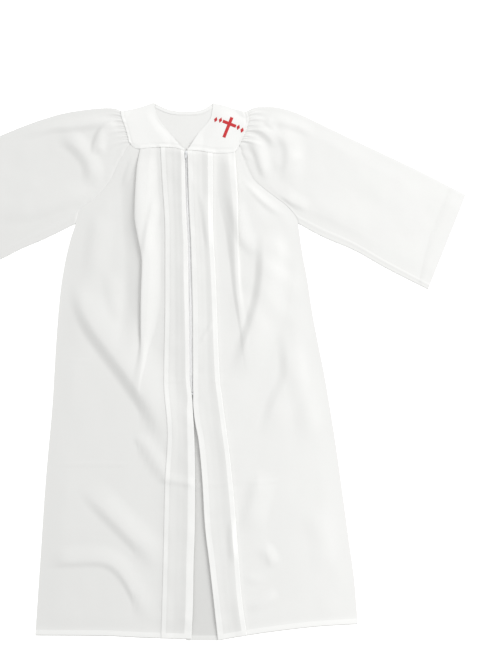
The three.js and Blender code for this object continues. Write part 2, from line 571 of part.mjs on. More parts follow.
function sleeve(side) {
  const seam = sleeveSeam(side);
  const top = outline(side.sleeveTop, 40);
  const lower = outline(side.sleeveLower, 40);
  const cuffCorner = new THREE.Vector2(side.sleeveLower.at(-1).x, side.sleeveLower.at(-1).y);
  const cuff = [top[top.length - 1], cuffCorner];
  // seam place and cuff place of each column of the upper layer
  const upperColumns = gatherColumns(side).map((column, place) => (
    { ...column, seamPoint: seam.upper[place].clone(), cuffShare: column.share * GATHERED_CUFF_SHARE }
  ));
  const plainColumns = seam.lower.length - 1;
  for (let column = 1; column <= plainColumns; column += 1) {
    const cuffShare = blend(GATHERED_CUFF_SHARE, 1, column / plainColumns);
    upperColumns.push({ seamPoint: seam.lower[column].clone(), cuffShare, gather: null });
  }
  const underarm = upperColumns.at(-1).seamPoint;
  const towardsYoke = seam.lower.at(-2).clone().sub(underarm).setLength(SEAM_PULL);
  underarm.add(towardsYoke);
  const isUnder = (column, place) => column.gather === null || place % UNDER_STEP === 0;
  const planPoint = (column, u) => {
    const straight = column.seamPoint.clone().lerp(along(cuff, column.cuffShare), u);
    const topChord = top[0].clone().lerp(cuff[0], u);
    const lowerChord = lower[0].clone().lerp(cuff[1], u);
    const bow = along(top, u).sub(topChord).multiplyScalar(1 - column.cuffShare);
    return straight.add(bow).add(along(lower, u).sub(lowerChord).multiplyScalar(column.cuffShare));
  };
  const gathered = (column, u) => {
    if (column.gather === null) return 0;
    const { height, length } = column.gather;
    const full = blend(GATHER_HEIGHT_AT_SEAM, height, smooth(u / GATHER_START));
    return full * column.wave * smooth((length - u) / length);
  };
  const grid = SLEEVE_ROWS.map((u) => {
    const ring = upperColumns.map((column) => {
      const place = planPoint(column, u);
      const edge = Math.min(column.cuffShare, 1 - column.cuffShare);
      const lieDown = smooth(edge / SLEEVE_EDGE_FADE) * smooth(u / SLEEVE_SEAM_FADE);
      const folds = foldsHeight(side.sleeveFolds, place.x, place.y) * lieDown;
      return new THREE.Vector3(place.x, place.y, FRONT_LEVEL + gathered(column, u) + folds);
    });
    const ends = [upperColumns.at(-1), upperColumns[0]].map((column) => planPoint(column, u));
    const across = ends[0].clone().sub(ends[1]).normalize().multiplyScalar(TURN_REACH);
    const underColumns = upperColumns.filter(isUnder).reverse().map((column) => planPoint(column, u));
    const middle = (FLOOR_LEVEL + FRONT_LEVEL) / 2;
    ring.push(new THREE.Vector3(ends[0].x + across.x, ends[0].y + across.y, middle));
    underColumns.forEach((place) => ring.push(new THREE.Vector3(place.x, place.y, FLOOR_LEVEL)));
    ring.push(new THREE.Vector3(ends[1].x - across.x, ends[1].y - across.y, middle));
    return ring;
  });
  // the first ring stands off the seam, away from the yoke and the panels
  grid[0].forEach((point, index) => {
    point.add(grid[1][index].clone().sub(point).setZ(0).setLength(2 * SEAM_GAP));
  });
  grid.way = side.sign;
  const hemStart = SLEEVE_ROWS.indexOf(CUFF_HEM_SHARE);
  const extra = (row, column, up) => (row >= hemStart && up ? HEM_RISE : 0);
  return clothWall(grid, { closed: true, turned: side.sign < 0, extra });
}

// ------------------------------------------------------------------ zip
const frontEdgeX = (side, y) => readTable(side.frontEdge, y, 'y', 'x');
const zipMiddle = (y) => (frontEdgeX(RIGHT, y) + frontEdgeX(LEFT, y)) / 2;
const ZIP_STEPS = 10;
const SLIDER = { width: 6.4, length: 10, thickness: 1.8 };
const SLIDER_Y = 525;

// A strip with straight sides that follows the zip, between two distances from its middle.
function zipStrip(fromSide, toSide, height, topY, endY) {
  const shape = new THREE.Shape();
  const near = [];
  const far = [];
  for (let step = 0; step <= ZIP_STEPS; step += 1) {
    const y = blend(topY, endY, step / ZIP_STEPS);
    near.push(new THREE.Vector2(zipMiddle(y) + fromSide, y));
    far.unshift(new THREE.Vector2(zipMiddle(y) + toSide, y));
  }
  shape.setFromPoints([...near, ...far]);
  return new THREE.ExtrudeGeometry(shape, { depth: height, bevelEnabled: false }).translate(0, 0, LAYER);
}

function zipTape(side) {
  const inner = side.sign * (CHAIN_WIDTH / 2 + SEAM_GAP);
  return zipStrip(inner, inner + side.sign * TAPE_WIDTH, WALL, ZIP_TOP_Y, ZIP_END_Y);
}

const zipChain = () => zipStrip(-CHAIN_WIDTH / 2, CHAIN_WIDTH / 2, CHAIN_HEIGHT, ZIP_TOP_Y, ZIP_END_Y);
const CHAIN_TOP = LAYER + CHAIN_HEIGHT;

// The slider's upper plate, shield-shaped.
function sliderPlate() {
  const half = SLIDER.width / 2;
  const plate = new THREE.Shape();
  plate.moveTo(-half * 0.7, -SLIDER.length / 2);
  plate.lineTo(half * 0.7, -SLIDER.length / 2);
  plate.lineTo(half, SLIDER.length / 4);
  plate.quadraticCurveTo(half, SLIDER.length / 2, 0, SLIDER.length / 2);
  plate.quadraticCurveTo(-half, SLIDER.length / 2, -half, SLIDER.length / 4);
  plate.closePath();
  return new THREE.ExtrudeGeometry(plate, { depth: SLIDER.thickness, bevelEnabled: false, curveSegments: 5 });
}

const SLIDER_BASE = CHAIN_TOP + SEAM_GAP;
const TAB_AXIS_Z = SLIDER_BASE + SLIDER.thickness + SEAM_GAP + 0.5;

// The bridge on the slider: two feet along the zip and a bar that holds the pull tab.
const BRIDGE = { width: 1.6, length: 6, clear: 1.9, bar: 1.0, sunk: 0.6 };
function zipBridge() {
  const half = BRIDGE.length / 2;
  const inside = half - BRIDGE.bar;
  const top = BRIDGE.clear + BRIDGE.bar;
  const side = new THREE.Shape([
    new THREE.Vector2(-half, -BRIDGE.sunk), new THREE.Vector2(-inside, -BRIDGE.sunk),
    new THREE.Vector2(-inside, BRIDGE.clear), new THREE.Vector2(inside, BRIDGE.clear),
    new THREE.Vector2(inside, -BRIDGE.sunk), new THREE.Vector2(half, -BRIDGE.sunk),
    new THREE.Vector2(half, top - BRIDGE.bar / 2), new THREE.Vector2(half - BRIDGE.bar / 2, top),
    new THREE.Vector2(BRIDGE.bar / 2 - half, top), new THREE.Vector2(-half, top - BRIDGE.bar / 2),
  ]);
  return new THREE.ExtrudeGeometry(side, { depth: BRIDGE.width, bevelEnabled: false })
    .translate(0, 0, -BRIDGE.width / 2).rotateX(Math.PI / 2).rotateZ(Math.PI / 2)
    .translate(0, 0, SLIDER.thickness);
}

// A three.js geometry as a solid that can be joined, and back again.
const wasm = await Module();
wasm.setup();
function asSolid(geometry) {
  const bare = geometry.clone();
  bare.deleteAttribute('normal');
  bare.deleteAttribute('uv');
  const merged = mergeVertices(bare);
  return new wasm.Manifold(new wasm.Mesh({
    numProp: 3,
    vertProperties: new Float32Array(merged.getAttribute('position').array),
    triVerts: new Uint32Array(merged.index.array),
  }));
}
function asGeometry(solid) {
  const mesh = solid.getMesh();
  const geometry = new THREE.BufferGeometry();
  geometry.setAttribute('position', new THREE.BufferAttribute(mesh.vertProperties, 3));
  geometry.setIndex(new THREE.BufferAttribute(mesh.triVerts, 1));
  geometry.computeVertexNormals();
  return geometry;
}
const zipSlider = () => asGeometry(asSolid(sliderPlate()).add(asSolid(zipBridge())));

// The pull tab lies towards the hem. Its crossbar is under the bridge, on the joint's axis.
const TAB = { width: 4.6, length: 14, thickness: 1.0, crossbar: 1.2, window: 3.4, rim: 1.2 };
function zipPullTab() {
  const half = TAB.width / 2;
  const top = TAB.crossbar / 2;
  const shape = new THREE.Shape();
  shape.moveTo(-half, top);
  shape.lineTo(-half * 0.8, -TAB.length + half);
  shape.quadraticCurveTo(0, -TAB.length - half * 0.4, half * 0.8, -TAB.length + half);
  shape.lineTo(half, top);
  shape.closePath();
  const inside = half - TAB.rim;
  shape.holes.push(new THREE.Path([
    new THREE.Vector2(-inside, -top), new THREE.Vector2(inside, -top),
    new THREE.Vector2(inside, -top - TAB.window), new THREE.Vector2(-inside, -top - TAB.window),
  ]));
  return new THREE.ExtrudeGeometry(shape, { depth: TAB.thickness, bevelEnabled: false, curveSegments: 6 })
    .translate(0, 0, -TAB.thickness / 2);
}

const STOP = { width: 3.4, length: 4.5, height: 2.4 };
const STOP_Y = ZIP_END_Y - SEAM_GAP - STOP.length / 2;
function zipStop() {
  return new THREE.BoxGeometry(STOP.width, STOP.length, STOP.height).translate(0, 0, LAYER + STOP.height / 2);
}

// ------------------------------------------------------------------ the robe
const CLOTH_WHITE = 0xf6f6f3;
const ZIP_WHITE = 0xe9eaec;
const clothLook = () => new THREE.MeshStandardMaterial({ color: CLOTH_WHITE, roughness: 0.55, metalness: 0 });
const zipLook = () => new THREE.MeshStandardMaterial({ color: ZIP_WHITE, roughness: 0.4, metalness: 0 });

const robe = new THREE.Group();
function add(name, geometry, material) {
  const mesh = new THREE.Mesh(geometry, material);
  mesh.name = name;
  robe.add(mesh);
  return mesh;
}

add('back_panel', backPanel(), clothLook());
add('back_yoke', backYoke(), clothLook());
add('back_neck_facing', neckFacing(), clothLook());
for (const [name, side] of [['right', RIGHT], ['left', LEFT]]) {
  add(`front_panel_${name}`, frontPanel(side), clothLook());
  add(`front_yoke_${name}`, frontYoke(side), clothLook());
  add(`sleeve_${name}`, sleeve(side), clothLook());
  add(`zip_tape_${name}`, zipTape(side), zipLook());
}
add('zip_chain', zipChain(), zipLook());
add('zip_stop', zipStop(), zipLook()).position.set(zipMiddle(STOP_Y), STOP_Y, 0);
add('zip_slider', zipSlider(), zipLook()).position.set(zipMiddle(SLIDER_Y), SLIDER_Y, SLIDER_BASE);
add('zip_pull_tab', zipPullTab(), zipLook()).position.set(zipMiddle(SLIDER_Y), SLIDER_Y, TAB_AXIS_Z);

export default robe;
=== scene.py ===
"""Dress the laid-out confirmation robe: cloth, stitching, zip, motif, floor and light."""

import json
import logging
import math
from dataclasses import dataclass, field
from enum import Enum
from functools import cache
from typing import Sequence

import bpy
import numpy as np
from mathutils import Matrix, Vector
from mathutils.bvhtree import BVHTree

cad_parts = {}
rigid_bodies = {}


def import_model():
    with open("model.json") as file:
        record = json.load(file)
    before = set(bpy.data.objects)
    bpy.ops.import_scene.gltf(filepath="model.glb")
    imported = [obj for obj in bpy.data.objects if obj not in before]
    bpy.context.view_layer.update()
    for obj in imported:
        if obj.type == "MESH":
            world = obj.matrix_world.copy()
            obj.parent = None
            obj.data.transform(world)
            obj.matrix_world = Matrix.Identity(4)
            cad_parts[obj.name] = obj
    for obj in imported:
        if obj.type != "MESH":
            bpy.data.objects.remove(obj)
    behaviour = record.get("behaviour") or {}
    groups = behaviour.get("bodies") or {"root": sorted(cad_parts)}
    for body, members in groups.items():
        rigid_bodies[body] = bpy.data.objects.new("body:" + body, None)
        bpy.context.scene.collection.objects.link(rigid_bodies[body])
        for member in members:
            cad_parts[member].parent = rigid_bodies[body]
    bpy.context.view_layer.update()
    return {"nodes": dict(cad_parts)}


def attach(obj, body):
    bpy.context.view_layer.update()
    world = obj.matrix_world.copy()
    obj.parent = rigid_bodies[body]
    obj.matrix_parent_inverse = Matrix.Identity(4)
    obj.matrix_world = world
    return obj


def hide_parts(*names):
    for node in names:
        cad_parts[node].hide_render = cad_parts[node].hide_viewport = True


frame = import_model()
log = logging.getLogger("robe")

# ------------------------------------------------------------------ shared sizes, in millimetres
MM = 0.001
WALL = 1.0
SEAM_GAP = 0.3
LAYER = WALL + SEAM_GAP
FLOOR_LEVEL = WALL / 2
FRONT_LEVEL = FLOOR_LEVEL + LAYER
HEM_Y = -632.0
HEM_DEPTH = 12.0
YOKE_SEAM_Y = 548.0
UNDERARM_Y = 355.0
YOKE_LAP = 5.0
YOKE_LEVEL = 5.9
ZIP_TOP_Y = 531.0
ZIP_END_Y = -50.0
SPACING = 0.8  # from one thin layer of a pressed fold to the next
ROBE = "robe"

# How white the cloth looks by what lies under it, from 0 for nothing to 1 for a stack of layers. The grey at
# 0 is partly painted shade, for the bare back panel where it shows between the fronts.
BAND, DOUBLE, LINED, STRIP, LAPPED, STACKED = 0.36, 0.5, 0.65, 0.9, 0.92, 1.0

Points = tuple[tuple[float, float], ...]
Array = np.ndarray


# ------------------------------------------------------------------ small maths
def smooth(value: Array | float) -> Array:
    """Rise softly from 0 to 1 while the value does."""
    t = np.clip(value, 0.0, 1.0)
    return t * t * (3.0 - 2.0 * t)


def blend(a: Array | float, b: Array | float, share: Array | float) -> Array:
    """Mix a and b."""
    return a + (b - a) * share


def spline(points: Points, steps: int) -> Array:
    """Draw a smooth curve through points.

    Args:
        points: Places that the curve passes, in order.
        steps: Points on each stretch between two places.

    Returns:
        The curve's points, one a row.
    """
    p = np.array(points, dtype=float)
    p = np.vstack([2 * p[0] - p[1], p, 2 * p[-1] - p[-2]])
    t = np.linspace(0, 1, steps, endpoint=False)[:, None]
    runs = []
    for a, b, c, d in zip(p[:-3], p[1:-2], p[2:-1], p[3:]):
        runs.append(0.5 * (2 * b + (c - a) * t + (2 * a - 5 * b + 4 * c - d) * t**2
                           + (3 * b - a - 3 * c + d) * t**3))
    return np.vstack([*runs, p[-2]])


def evenly(curve: Array, count: int) -> Array:
    """Space points evenly along a curve.

    Args:
        curve: Points of the curve, one a row.
        count: Stretches wanted.

    Returns:
        count + 1 points, one a row.
    """
    lengths = np.concatenate([[0], np.cumsum(np.linalg.norm(np.diff(curve, axis=0), axis=1))])
    places = np.linspace(0, lengths[-1], count + 1)
    return np.stack([np.interp(places, lengths, curve[:, k]) for k in range(curve.shape[1])], 1)


def along(curve: Array, share: Array | float) -> Array:
    """Read an evenly spaced curve at shares of its length."""
    place = np.clip(share, 0, 1) * (len(curve) - 1)
    numbers = np.arange(len(curve))
    return np.stack([np.interp(place, numbers, curve[:, k]) for k in range(curve.shape[1])], -1)


def rightward(curve: Array) -> Array:
    """Give the unit normal on the right-hand side of someone who walks along a curve."""
    tangent = np.gradient(curve, axis=0)
    tangent /= np.linalg.norm(tangent, axis=1)[:, None]
    return np.stack([tangent[:, 1], -tangent[:, 0]], 1)


def bridge(heights: Array, cells: int) -> Array:
    """Lay a soft sheet over a grid of heights without cutting into it.

    Args:
        heights: The grid that it lies on.
        cells: How many cells away it stays up and rounds off.

    Returns:
        The sheet's heights, nowhere lower than the grid.
    """
    reach = range(-cells, cells + 1)
    padded = np.pad(heights, 2 * cells, mode="edge")
    raised = np.max([np.roll(padded, (i, j), (0, 1)) for i in reach for j in reach], axis=0)
    softened = np.mean([np.roll(raised, (i, j), (0, 1)) for i in reach for j in reach], axis=0)
    return softened[2 * cells: -2 * cells, 2 * cells: -2 * cells]


@dataclass(frozen=True)
class Line:
    """A table of (place, value) rows in rising order of place, read without overshoot."""

    rows: Points

    def read(self, place: Array | float) -> Array:
        """Give the value at each place."""
        x, y = np.array(self.rows, dtype=float).T
        h = np.diff(x)
        d = np.diff(y) / h
        pairs = d[:-1] * d[1:]
        total = np.where(pairs > 0, d[:-1] + d[1:], 1.0)
        slope = np.concatenate([[d[0]], np.where(pairs > 0, 2 * pairs / total, 0.0), [d[-1]]])
        p = np.clip(place, x[0], x[-1])
        i = np.clip(np.searchsorted(x, p, side="right") - 1, 0, len(h) - 1)
        t = (p - x[i]) / h[i]
        near = (2 * t**3 - 3 * t**2 + 1) * y[i] + (t**3 - 2 * t**2 + t) * h[i] * slope[i]
        far = (3 * t**2 - 2 * t**3) * y[i + 1] + (t**3 - t**2) * h[i] * slope[i + 1]
        return near + far


@dataclass(frozen=True)
class Ripple:
    """Soft seeded noise over the plane, about -1 to 1."""

    seed: int
    across: float
    down: float
    cells: int = 64

    def height(self, x: Array, y: Array) -> Array:
        """Give the noise at each place."""
        grid = np.random.default_rng(self.seed).uniform(-1, 1, (self.cells, self.cells))
        px, py = x / self.across, y / self.down
        ix, iy = np.floor(px).astype(int), np.floor(py).astype(int)
        fx, fy = smooth(px - ix), smooth(py - iy)
        left, right = ix % self.cells, (ix + 1) % self.cells
        near, far = (grid[(iy + k) % self.cells, left] * (1 - fx)
                     + grid[(iy + k) % self.cells, right] * fx for k in (0, 1))
        return near * (1 - fy) + far * fy


def uneven(size: float, seed: int, across: float, down: float, x: Array, y: Array) -> Array:
    """Give seeded unevenness of the cloth, from 0 to twice a size."""
    return size * (1 + Ripple(seed, across, down).height(x, y))


@dataclass(frozen=True)
class Fold:
    """One soft fold of the cloth: a crest line, its height and the widths of its two flanks."""

    crest: Points
    height: float
    steep: float
    gentle: float
    fade: float = 0.28

    def rise(self, x: Array, y: Array) -> Array:
        """Give the fold's height at each place.

        The steep flank is on the right-hand side of someone who walks along the crest.

        Args:
            x: Places across, in millimetres.
            y: Places along, in millimetres.

        Returns:
            Heights in millimetres, in the shape of x.
        """
        curve = evenly(spline(self.crest, 12), 48)
        reach = max(self.steep, self.gentle)
        low, high = curve.min(0) - reach, curve.max(0) + reach
        near = (x > low[0]) & (x < high[0]) & (y > low[1]) & (y < high[1])
        out = np.zeros_like(x, dtype=float)
        if not near.any():
            return out
        place = np.stack([x[near], y[near]], 1)[:, None, :]
        start, run = curve[:-1][None], np.diff(curve, axis=0)[None]
        share = np.clip(((place - start) * run).sum(-1) / (run**2).sum(-1), 0, 1)
        offset = place - start - run * share[..., None]
        distance = np.linalg.norm(offset, axis=-1)
        best = distance.argmin(1)
        pick = np.arange(len(best))
        side = run[0, best, 0] * offset[pick, best, 1] - run[0, best, 1] * offset[pick, best, 0]
        width = np.where(side < 0, self.steep, self.gentle)
        travel = (best + share[pick, best]) / run.shape[1]
        ends = smooth(travel / self.fade) * smooth((1 - travel) / self.fade)
        out[near] = self.height * smooth(1 - distance[pick, best] / width) * ends
        return out


def folds_rise(folds: Sequence[Fold], x: Array, y: Array) -> Array:
    """Add up the heights of several folds."""
    total = np.zeros_like(x, dtype=float)
    for fold in folds:
        total += fold.rise(x, y)
    return total


# ------------------------------------------------------------------ shader desk
Number = int | float


@dataclass
class Signal:
    """A shader socket that can be used in Python sums."""

    desk: "Desk"
    socket: bpy.types.NodeSocket

    def _math(self, operation: str, a: "Signal | Number", b: "Signal | Number") -> "Signal":
        """Add one Math node."""
        return self.desk.node("ShaderNodeMath", {"operation": operation}, {0: a, 1: b})

    def __add__(self, other: "Signal | Number") -> "Signal":
        """Add."""
        return self._math("ADD", self, other)

    __radd__ = __add__

    def __sub__(self, other: "Signal | Number") -> "Signal":
        """Subtract."""
        return self._math("SUBTRACT", self, other)

    def __rsub__(self, other: "Signal | Number") -> "Signal":
        """Subtract from a number."""
        return self._math("SUBTRACT", other, self)

    def __mul__(self, other: "Signal | Number") -> "Signal":
        """Multiply."""
        return self._math("MULTIPLY", self, other)

    __rmul__ = __mul__

    def wave(self) -> "Signal":
        """Take the sine."""
        return self._math("SINE", self, 0.0)

    def clamp(self) -> "Signal":
        """Keep between 0 and 1."""
        return self.desk.node("ShaderNodeClamp", {}, {0: self})


class Desk:
    """Builds one material's nodes."""

    def __init__(self, name: str) -> None:
        """Start an empty material with a Principled shader and its output."""
        self.material = bpy.data.materials.new(name)
        self.material.use_nodes = True
        self.tree = self.material.node_tree
        self.tree.nodes.clear()
        self.shader = self.tree.nodes.new("ShaderNodeBsdfPrincipled")
        output = self.tree.nodes.new("ShaderNodeOutputMaterial")
        self.tree.links.new(self.shader.outputs[0], output.inputs["Surface"])

    def node(self, kind: str, settings: dict, inputs: dict, out: int | str = 0) -> Signal:
        """Add a node.

        Args:
            kind: The node's type.
            settings: Its own settings, set before its sockets.
            inputs: Values or signals of its input sockets.
            out: The output socket to return.

        Returns:
            The output as a signal.
        """
        made = self.tree.nodes.new(kind)
        for key, value in settings.items():
            setattr(made, key, value)
        for key, value in inputs.items():
            self.feed(made.inputs[key], value)
        return Signal(self, made.outputs[out])

    def feed(self, socket: bpy.types.NodeSocket, value: "Signal | Number | tuple") -> None:
        """Link a signal to a socket, or set the socket's own value."""
        if isinstance(value, Signal):
            self.tree.links.new(value.socket, socket)
        else:
            socket.default_value = value

    def surface(self, **inputs: "Signal | Number | tuple") -> bpy.types.Material:
        """Feed the Principled shader by socket names with _ for spaces, and return the material."""
        for key, value in inputs.items():
            self.feed(self.shader.inputs[key.replace("_", " ")], value)
        return self.material

    def split_uv(self) -> tuple[Signal, Signal]:
        """Give the piece's own cloth coordinates, in metres, across and along."""
        uv = self.node("ShaderNodeUVMap", {"uv_map": "cloth"}, {})
        parts = self.node("ShaderNodeSeparateXYZ", {}, {0: uv})
        return parts, Signal(self, parts.socket.node.outputs[1])

    def objects(self) -> Signal:
        """Give the object coordinates."""
        return self.node("ShaderNodeTexCoord", {}, {}, "Object")

    def noise(self, where: Signal, scale: float, detail: float = 2.0) -> Signal:
        """Give soft noise from 0 to 1."""
        return self.node("ShaderNodeTexNoise", {}, {"Vector": where, "Scale": scale, "Detail": detail})

    def mix(self, share: Signal, a: tuple, b: "tuple | Signal") -> Signal:
        """Mix two colours."""
        return self.node(
            "ShaderNodeMix", {"data_type": "RGBA"}, {"Factor": share, 6: a, 7: b}, 2)

    def bump(self, height: Signal, strength: float, distance: float) -> Signal:
        """Turn a height signal into a normal."""
        return self.node(
            "ShaderNodeBump", {}, {"Height": height, "Strength": strength, "Distance": distance}, "Normal")


@dataclass(frozen=True)
class ClothFinish:
    """White polyester cloth: thin where it is one layer, whiter where layers lie together; its greyest colour
    is partly painted shade.
    """

    name: str = "woven_cloth"
    # greyest colour: one layer of cloth, darkened further as painted shade for the bare back panel between
    # the fronts
    one_layer_and_shade: tuple = (0.69, 0.691, 0.676, 1.0)
    layered: tuple = (0.87, 0.871, 0.856, 1.0)
    roughness: float = 0.56
    thread_pitch: float = 0.0007

    def build(self) -> bpy.types.Material:
        """Make the material.

        Returns:
            The material, which reads the attribute "layers" (0 bare, 1 stacked).
        """
        desk = Desk(self.name)
        across, down = desk.split_uv()
        turn = 2 * math.pi / self.thread_pitch
        weave = (across * turn).wave() * (down * turn).wave()
        place = desk.objects()
        cloudy = desk.noise(place, 9.0, 3.0)
        slub = desk.noise(place, 420.0, 2.0)
        fine = desk.noise(place, 60.0, 3.0)
        layers = desk.node("ShaderNodeAttribute", {"attribute_name": "layers"}, {}, "Fac")
        share = (layers + (cloudy - 0.5) * 0.14 + (slub - 0.5) * 0.05).clamp()
        # colour runs from the painted-shade grey of bare cloth to the white of a stack
        colour = desk.mix(share, self.one_layer_and_shade, self.layered)
        height = weave * 0.25 + slub * 0.5 + fine * 1.2
        return desk.surface(
            Base_Color=colour,
            Roughness=self.roughness + (slub - 0.5) * 0.12,
            Normal=desk.bump(height, 0.12, 0.0006),
            Sheen_Weight=0.12,
            Specular_IOR_Level=0.32,
        )


@dataclass(frozen=True)
class TapeFinish:
    """White herringbone zip tape."""

    name: str = "woven_tape"
    light: tuple = (0.93, 0.93, 0.925, 1.0)
    dark: tuple = (0.84, 0.84, 0.835, 1.0)

    def build(self) -> bpy.types.Material:
        """Make the material."""
        desk = Desk(self.name)
        place = desk.objects()
        parts = desk.node("ShaderNodeSeparateXYZ", {}, {0: place})
        along_tape = Signal(desk, parts.socket.node.outputs[1])
        rib = (parts * 2600.0 + (along_tape * 1500.0).wave() * 1.2).wave() * 0.5 + 0.5
        return desk.surface(
            Base_Color=desk.mix(rib, self.dark, self.light),
            Roughness=0.7 + desk.noise(place, 300.0) * 0.1,
            Normal=desk.bump(rib, 0.3, 0.0004),
        )


@dataclass(frozen=True)
class HardFinish:
    """Pale painted or moulded zip part, slightly uneven."""

    name: str
    light: tuple
    dark: tuple
    roughness: float

    def build(self) -> bpy.types.Material:
        """Make the material."""
        desk = Desk(self.name)
        place = desk.objects()
        wear = desk.noise(place, 700.0, 4.0)
        return desk.surface(
            Base_Color=desk.mix(wear, self.dark, self.light),
            Roughness=self.roughness + wear * 0.15,
            Normal=desk.bump(wear, 0.08, 0.0002),
            Coat_Weight=0.15,
        )


@dataclass(frozen=True)
class PrintFinish:
    """Flat red transfer print on cloth."""

    name: str = "flat_print"
    light: tuple = (0.62, 0.022, 0.028, 1.0)
    dark: tuple = (0.50, 0.015, 0.02, 1.0)

    def build(self) -> bpy.types.Material:
        """Make the material."""
        desk = Desk(self.name)
        place = desk.objects()
        grain = desk.noise(place, 900.0, 2.0)
        return desk.surface(
            Base_Color=desk.mix(grain, self.dark, self.light),
            Roughness=0.42 + grain * 0.16,
            Normal=desk.bump(grain, 0.15, 0.0002),
        )


@dataclass(frozen=True)
class FloorFinish:
    """Plain white sweep that the robe lies on."""

    name: str = "floor_white"

    def build(self) -> bpy.types.Material:
        """Make the material."""
        desk = Desk(self.name)
        return desk.surface(
            Base_Color=(0.95, 0.95, 0.95, 1.0), Roughness=0.9,
            Emission_Color=(1.0, 1.0, 1.0, 1.0), Emission_Strength=0.5,
        )


class Finish(Enum):
    """The finishes that pieces take."""

    CLOTH = ClothFinish()
    TAPE = TapeFinish()
    COIL = HardFinish("moulded_coil", (0.93, 0.93, 0.93, 1.0), (0.84, 0.84, 0.84, 1.0), 0.42)
    HARDWARE = HardFinish("painted_metal", (0.88, 0.89, 0.9, 1.0), (0.76, 0.77, 0.78, 1.0), 0.3)
    THREAD = HardFinish("sewing_thread", (0.9, 0.9, 0.89, 1.0), (0.78, 0.78, 0.77, 1.0), 0.6)
    PRINT = PrintFinish()
    FLOOR = FloorFinish()

    @cache
    def material(self) -> bpy.types.Material:
        """Give the finish's material, built once."""
        return self.value.build()


# ------------------------------------------------------------------ cloth meshes
def link_object(name: str, data: bpy.types.ID) -> bpy.types.Object:
    """Make an object of some data and link it to the scene."""
    made = bpy.data.objects.new(name, data)
    bpy.context.scene.collection.objects.link(made)
    return made


def smooth_piece(
    name: str, vertices: Sequence, faces: Sequence, material: bpy.types.Material
) -> bpy.types.Object:
    """Make a smooth-shaded object of one material.

    Args:
        name: The object's name.
        vertices: Its points in metres.
        faces: The numbers of each face's points.
        material: Its one material.

    Returns:
        The object, at the origin.
    """
    mesh = bpy.data.meshes.new(name)
    mesh.from_pydata(vertices, [], faces)
    mesh.polygons.foreach_set("use_smooth", np.ones(len(faces), dtype=bool))
    mesh.materials.append(material)
    return link_object(name, mesh)


@dataclass
class ClothSheet:
    """A grid of middle points that becomes a thin cloth shell.

    Attributes:
        name: The piece's name.
        points: Array of rows, columns and x, y, z in millimetres.
        layers: Array of rows and columns, 0 for one layer of cloth and 1 for a stack of layers, with painted
            shade and painted light carried in it too.
        thickness: The shell's thickness in millimetres.
        ring: Whether the last column joins the first.
        edge_line: How far inside a free edge its close line of points lies, in millimetres.
    """

    name: str
    points: Array
    layers: Array
    thickness: float = 0.6
    ring: bool = False
    edge_line: float = 0.4

    def __post_init__(self) -> None:
        """Put a close line of points inside each free edge, so that only the rim shades round."""
        for axis in (0,) if self.ring else (0, 1):
            points, layers = (np.moveaxis(grid, axis, 0) for grid in (self.points, self.layers))
            for first, second in ((0, 1), (-1, -2)):
                length = np.linalg.norm(points[second] - points[first], axis=-1)
                share = np.minimum(0.5, self.edge_line / np.maximum(length, 1e-6))
                near = blend(points[first], points[second], share[..., None])
                place = 1 if first == 0 else len(points) - 1
                points = np.insert(points, place, near, axis=0)
                layers = np.insert(layers, place, layers[first], axis=0)
            self.points, self.layers = np.moveaxis(points, 0, axis), np.moveaxis(layers, 0, axis)

    def build(self) -> bpy.types.Object:
        """Make the shell with its cloth coordinates and material.

        Returns:
            The finished object, at the origin.
        """
        rows, columns, _ = self.points.shape
        numbers = np.arange(rows * columns).reshape(rows, columns)
        left, right = numbers[:, :-1], numbers[:, 1:]
        if self.ring:
            left, right = numbers, np.roll(numbers, -1, axis=1)
        quads = np.stack([left[:-1], right[:-1], right[1:], left[1:]], -1).reshape(-1, 4)
        flat = self.points.reshape(-1, 3) * MM
        a, b, c = flat[quads[:, 0]], flat[quads[:, 1]], flat[quads[:, 3]]
        if np.cross(b - a, c - a)[:, 2][self._upper(rows, columns)].sum() < 0:
            quads = quads[:, ::-1]
        mesh = bpy.data.meshes.new(self.name)
        mesh.from_pydata(flat.tolist(), [], quads.tolist())
        self._paint(mesh, quads, rows, columns)
        mesh.polygons.foreach_set("use_smooth", np.ones(len(quads), dtype=bool))
        made = link_object(self.name, mesh)
        solid = made.modifiers.new("thickness", "SOLIDIFY")
        solid.thickness = self.thickness * MM
        solid.offset = 0.0
        made.data.materials.append(Finish.CLOTH.material())
        return made

    def _upper(self, rows: int, columns: int) -> Array:
        """Pick the faces of the upper side, by their place in a ring."""
        across = columns if self.ring else columns - 1
        keep = np.zeros((rows - 1, across), dtype=bool)
        keep[:, : across // 2] = True
        return keep.reshape(-1)

    def _paint(self, mesh: bpy.types.Mesh, quads: Array, rows: int, columns: int) -> None:
        """Write the layers attribute and the cloth coordinates in metres."""
        attribute = mesh.attributes.new("layers", "FLOAT", "POINT")
        attribute.data.foreach_set("value", self.layers.astype(np.float32).reshape(-1))
        step = np.linalg.norm(np.diff(self.points, axis=1), axis=2)
        u = np.concatenate([np.zeros((rows, 1)), np.cumsum(step, axis=1)], 1)
        drop = np.linalg.norm(np.diff(self.points, axis=0), axis=2)
        v = np.concatenate([np.zeros((1, columns)), np.cumsum(drop, axis=0)], 0)
        uv = np.stack([u, v], -1).reshape(-1, 2) * MM
        layer = mesh.uv_layers.new(name="cloth")
        layer.data.foreach_set("uv", uv[quads.reshape(-1)].astype(np.float32).reshape(-1))


def adopt(piece: bpy.types.Object, slot: str, *nodes: str) -> bpy.types.Object:
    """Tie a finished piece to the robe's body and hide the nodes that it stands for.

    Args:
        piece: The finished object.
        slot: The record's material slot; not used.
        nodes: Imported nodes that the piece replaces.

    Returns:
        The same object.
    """
    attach(piece, ROBE)
    if nodes:
        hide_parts(*nodes)
    log.info("%s: %d faces", piece.name, len(piece.data.polygons))
    return piece


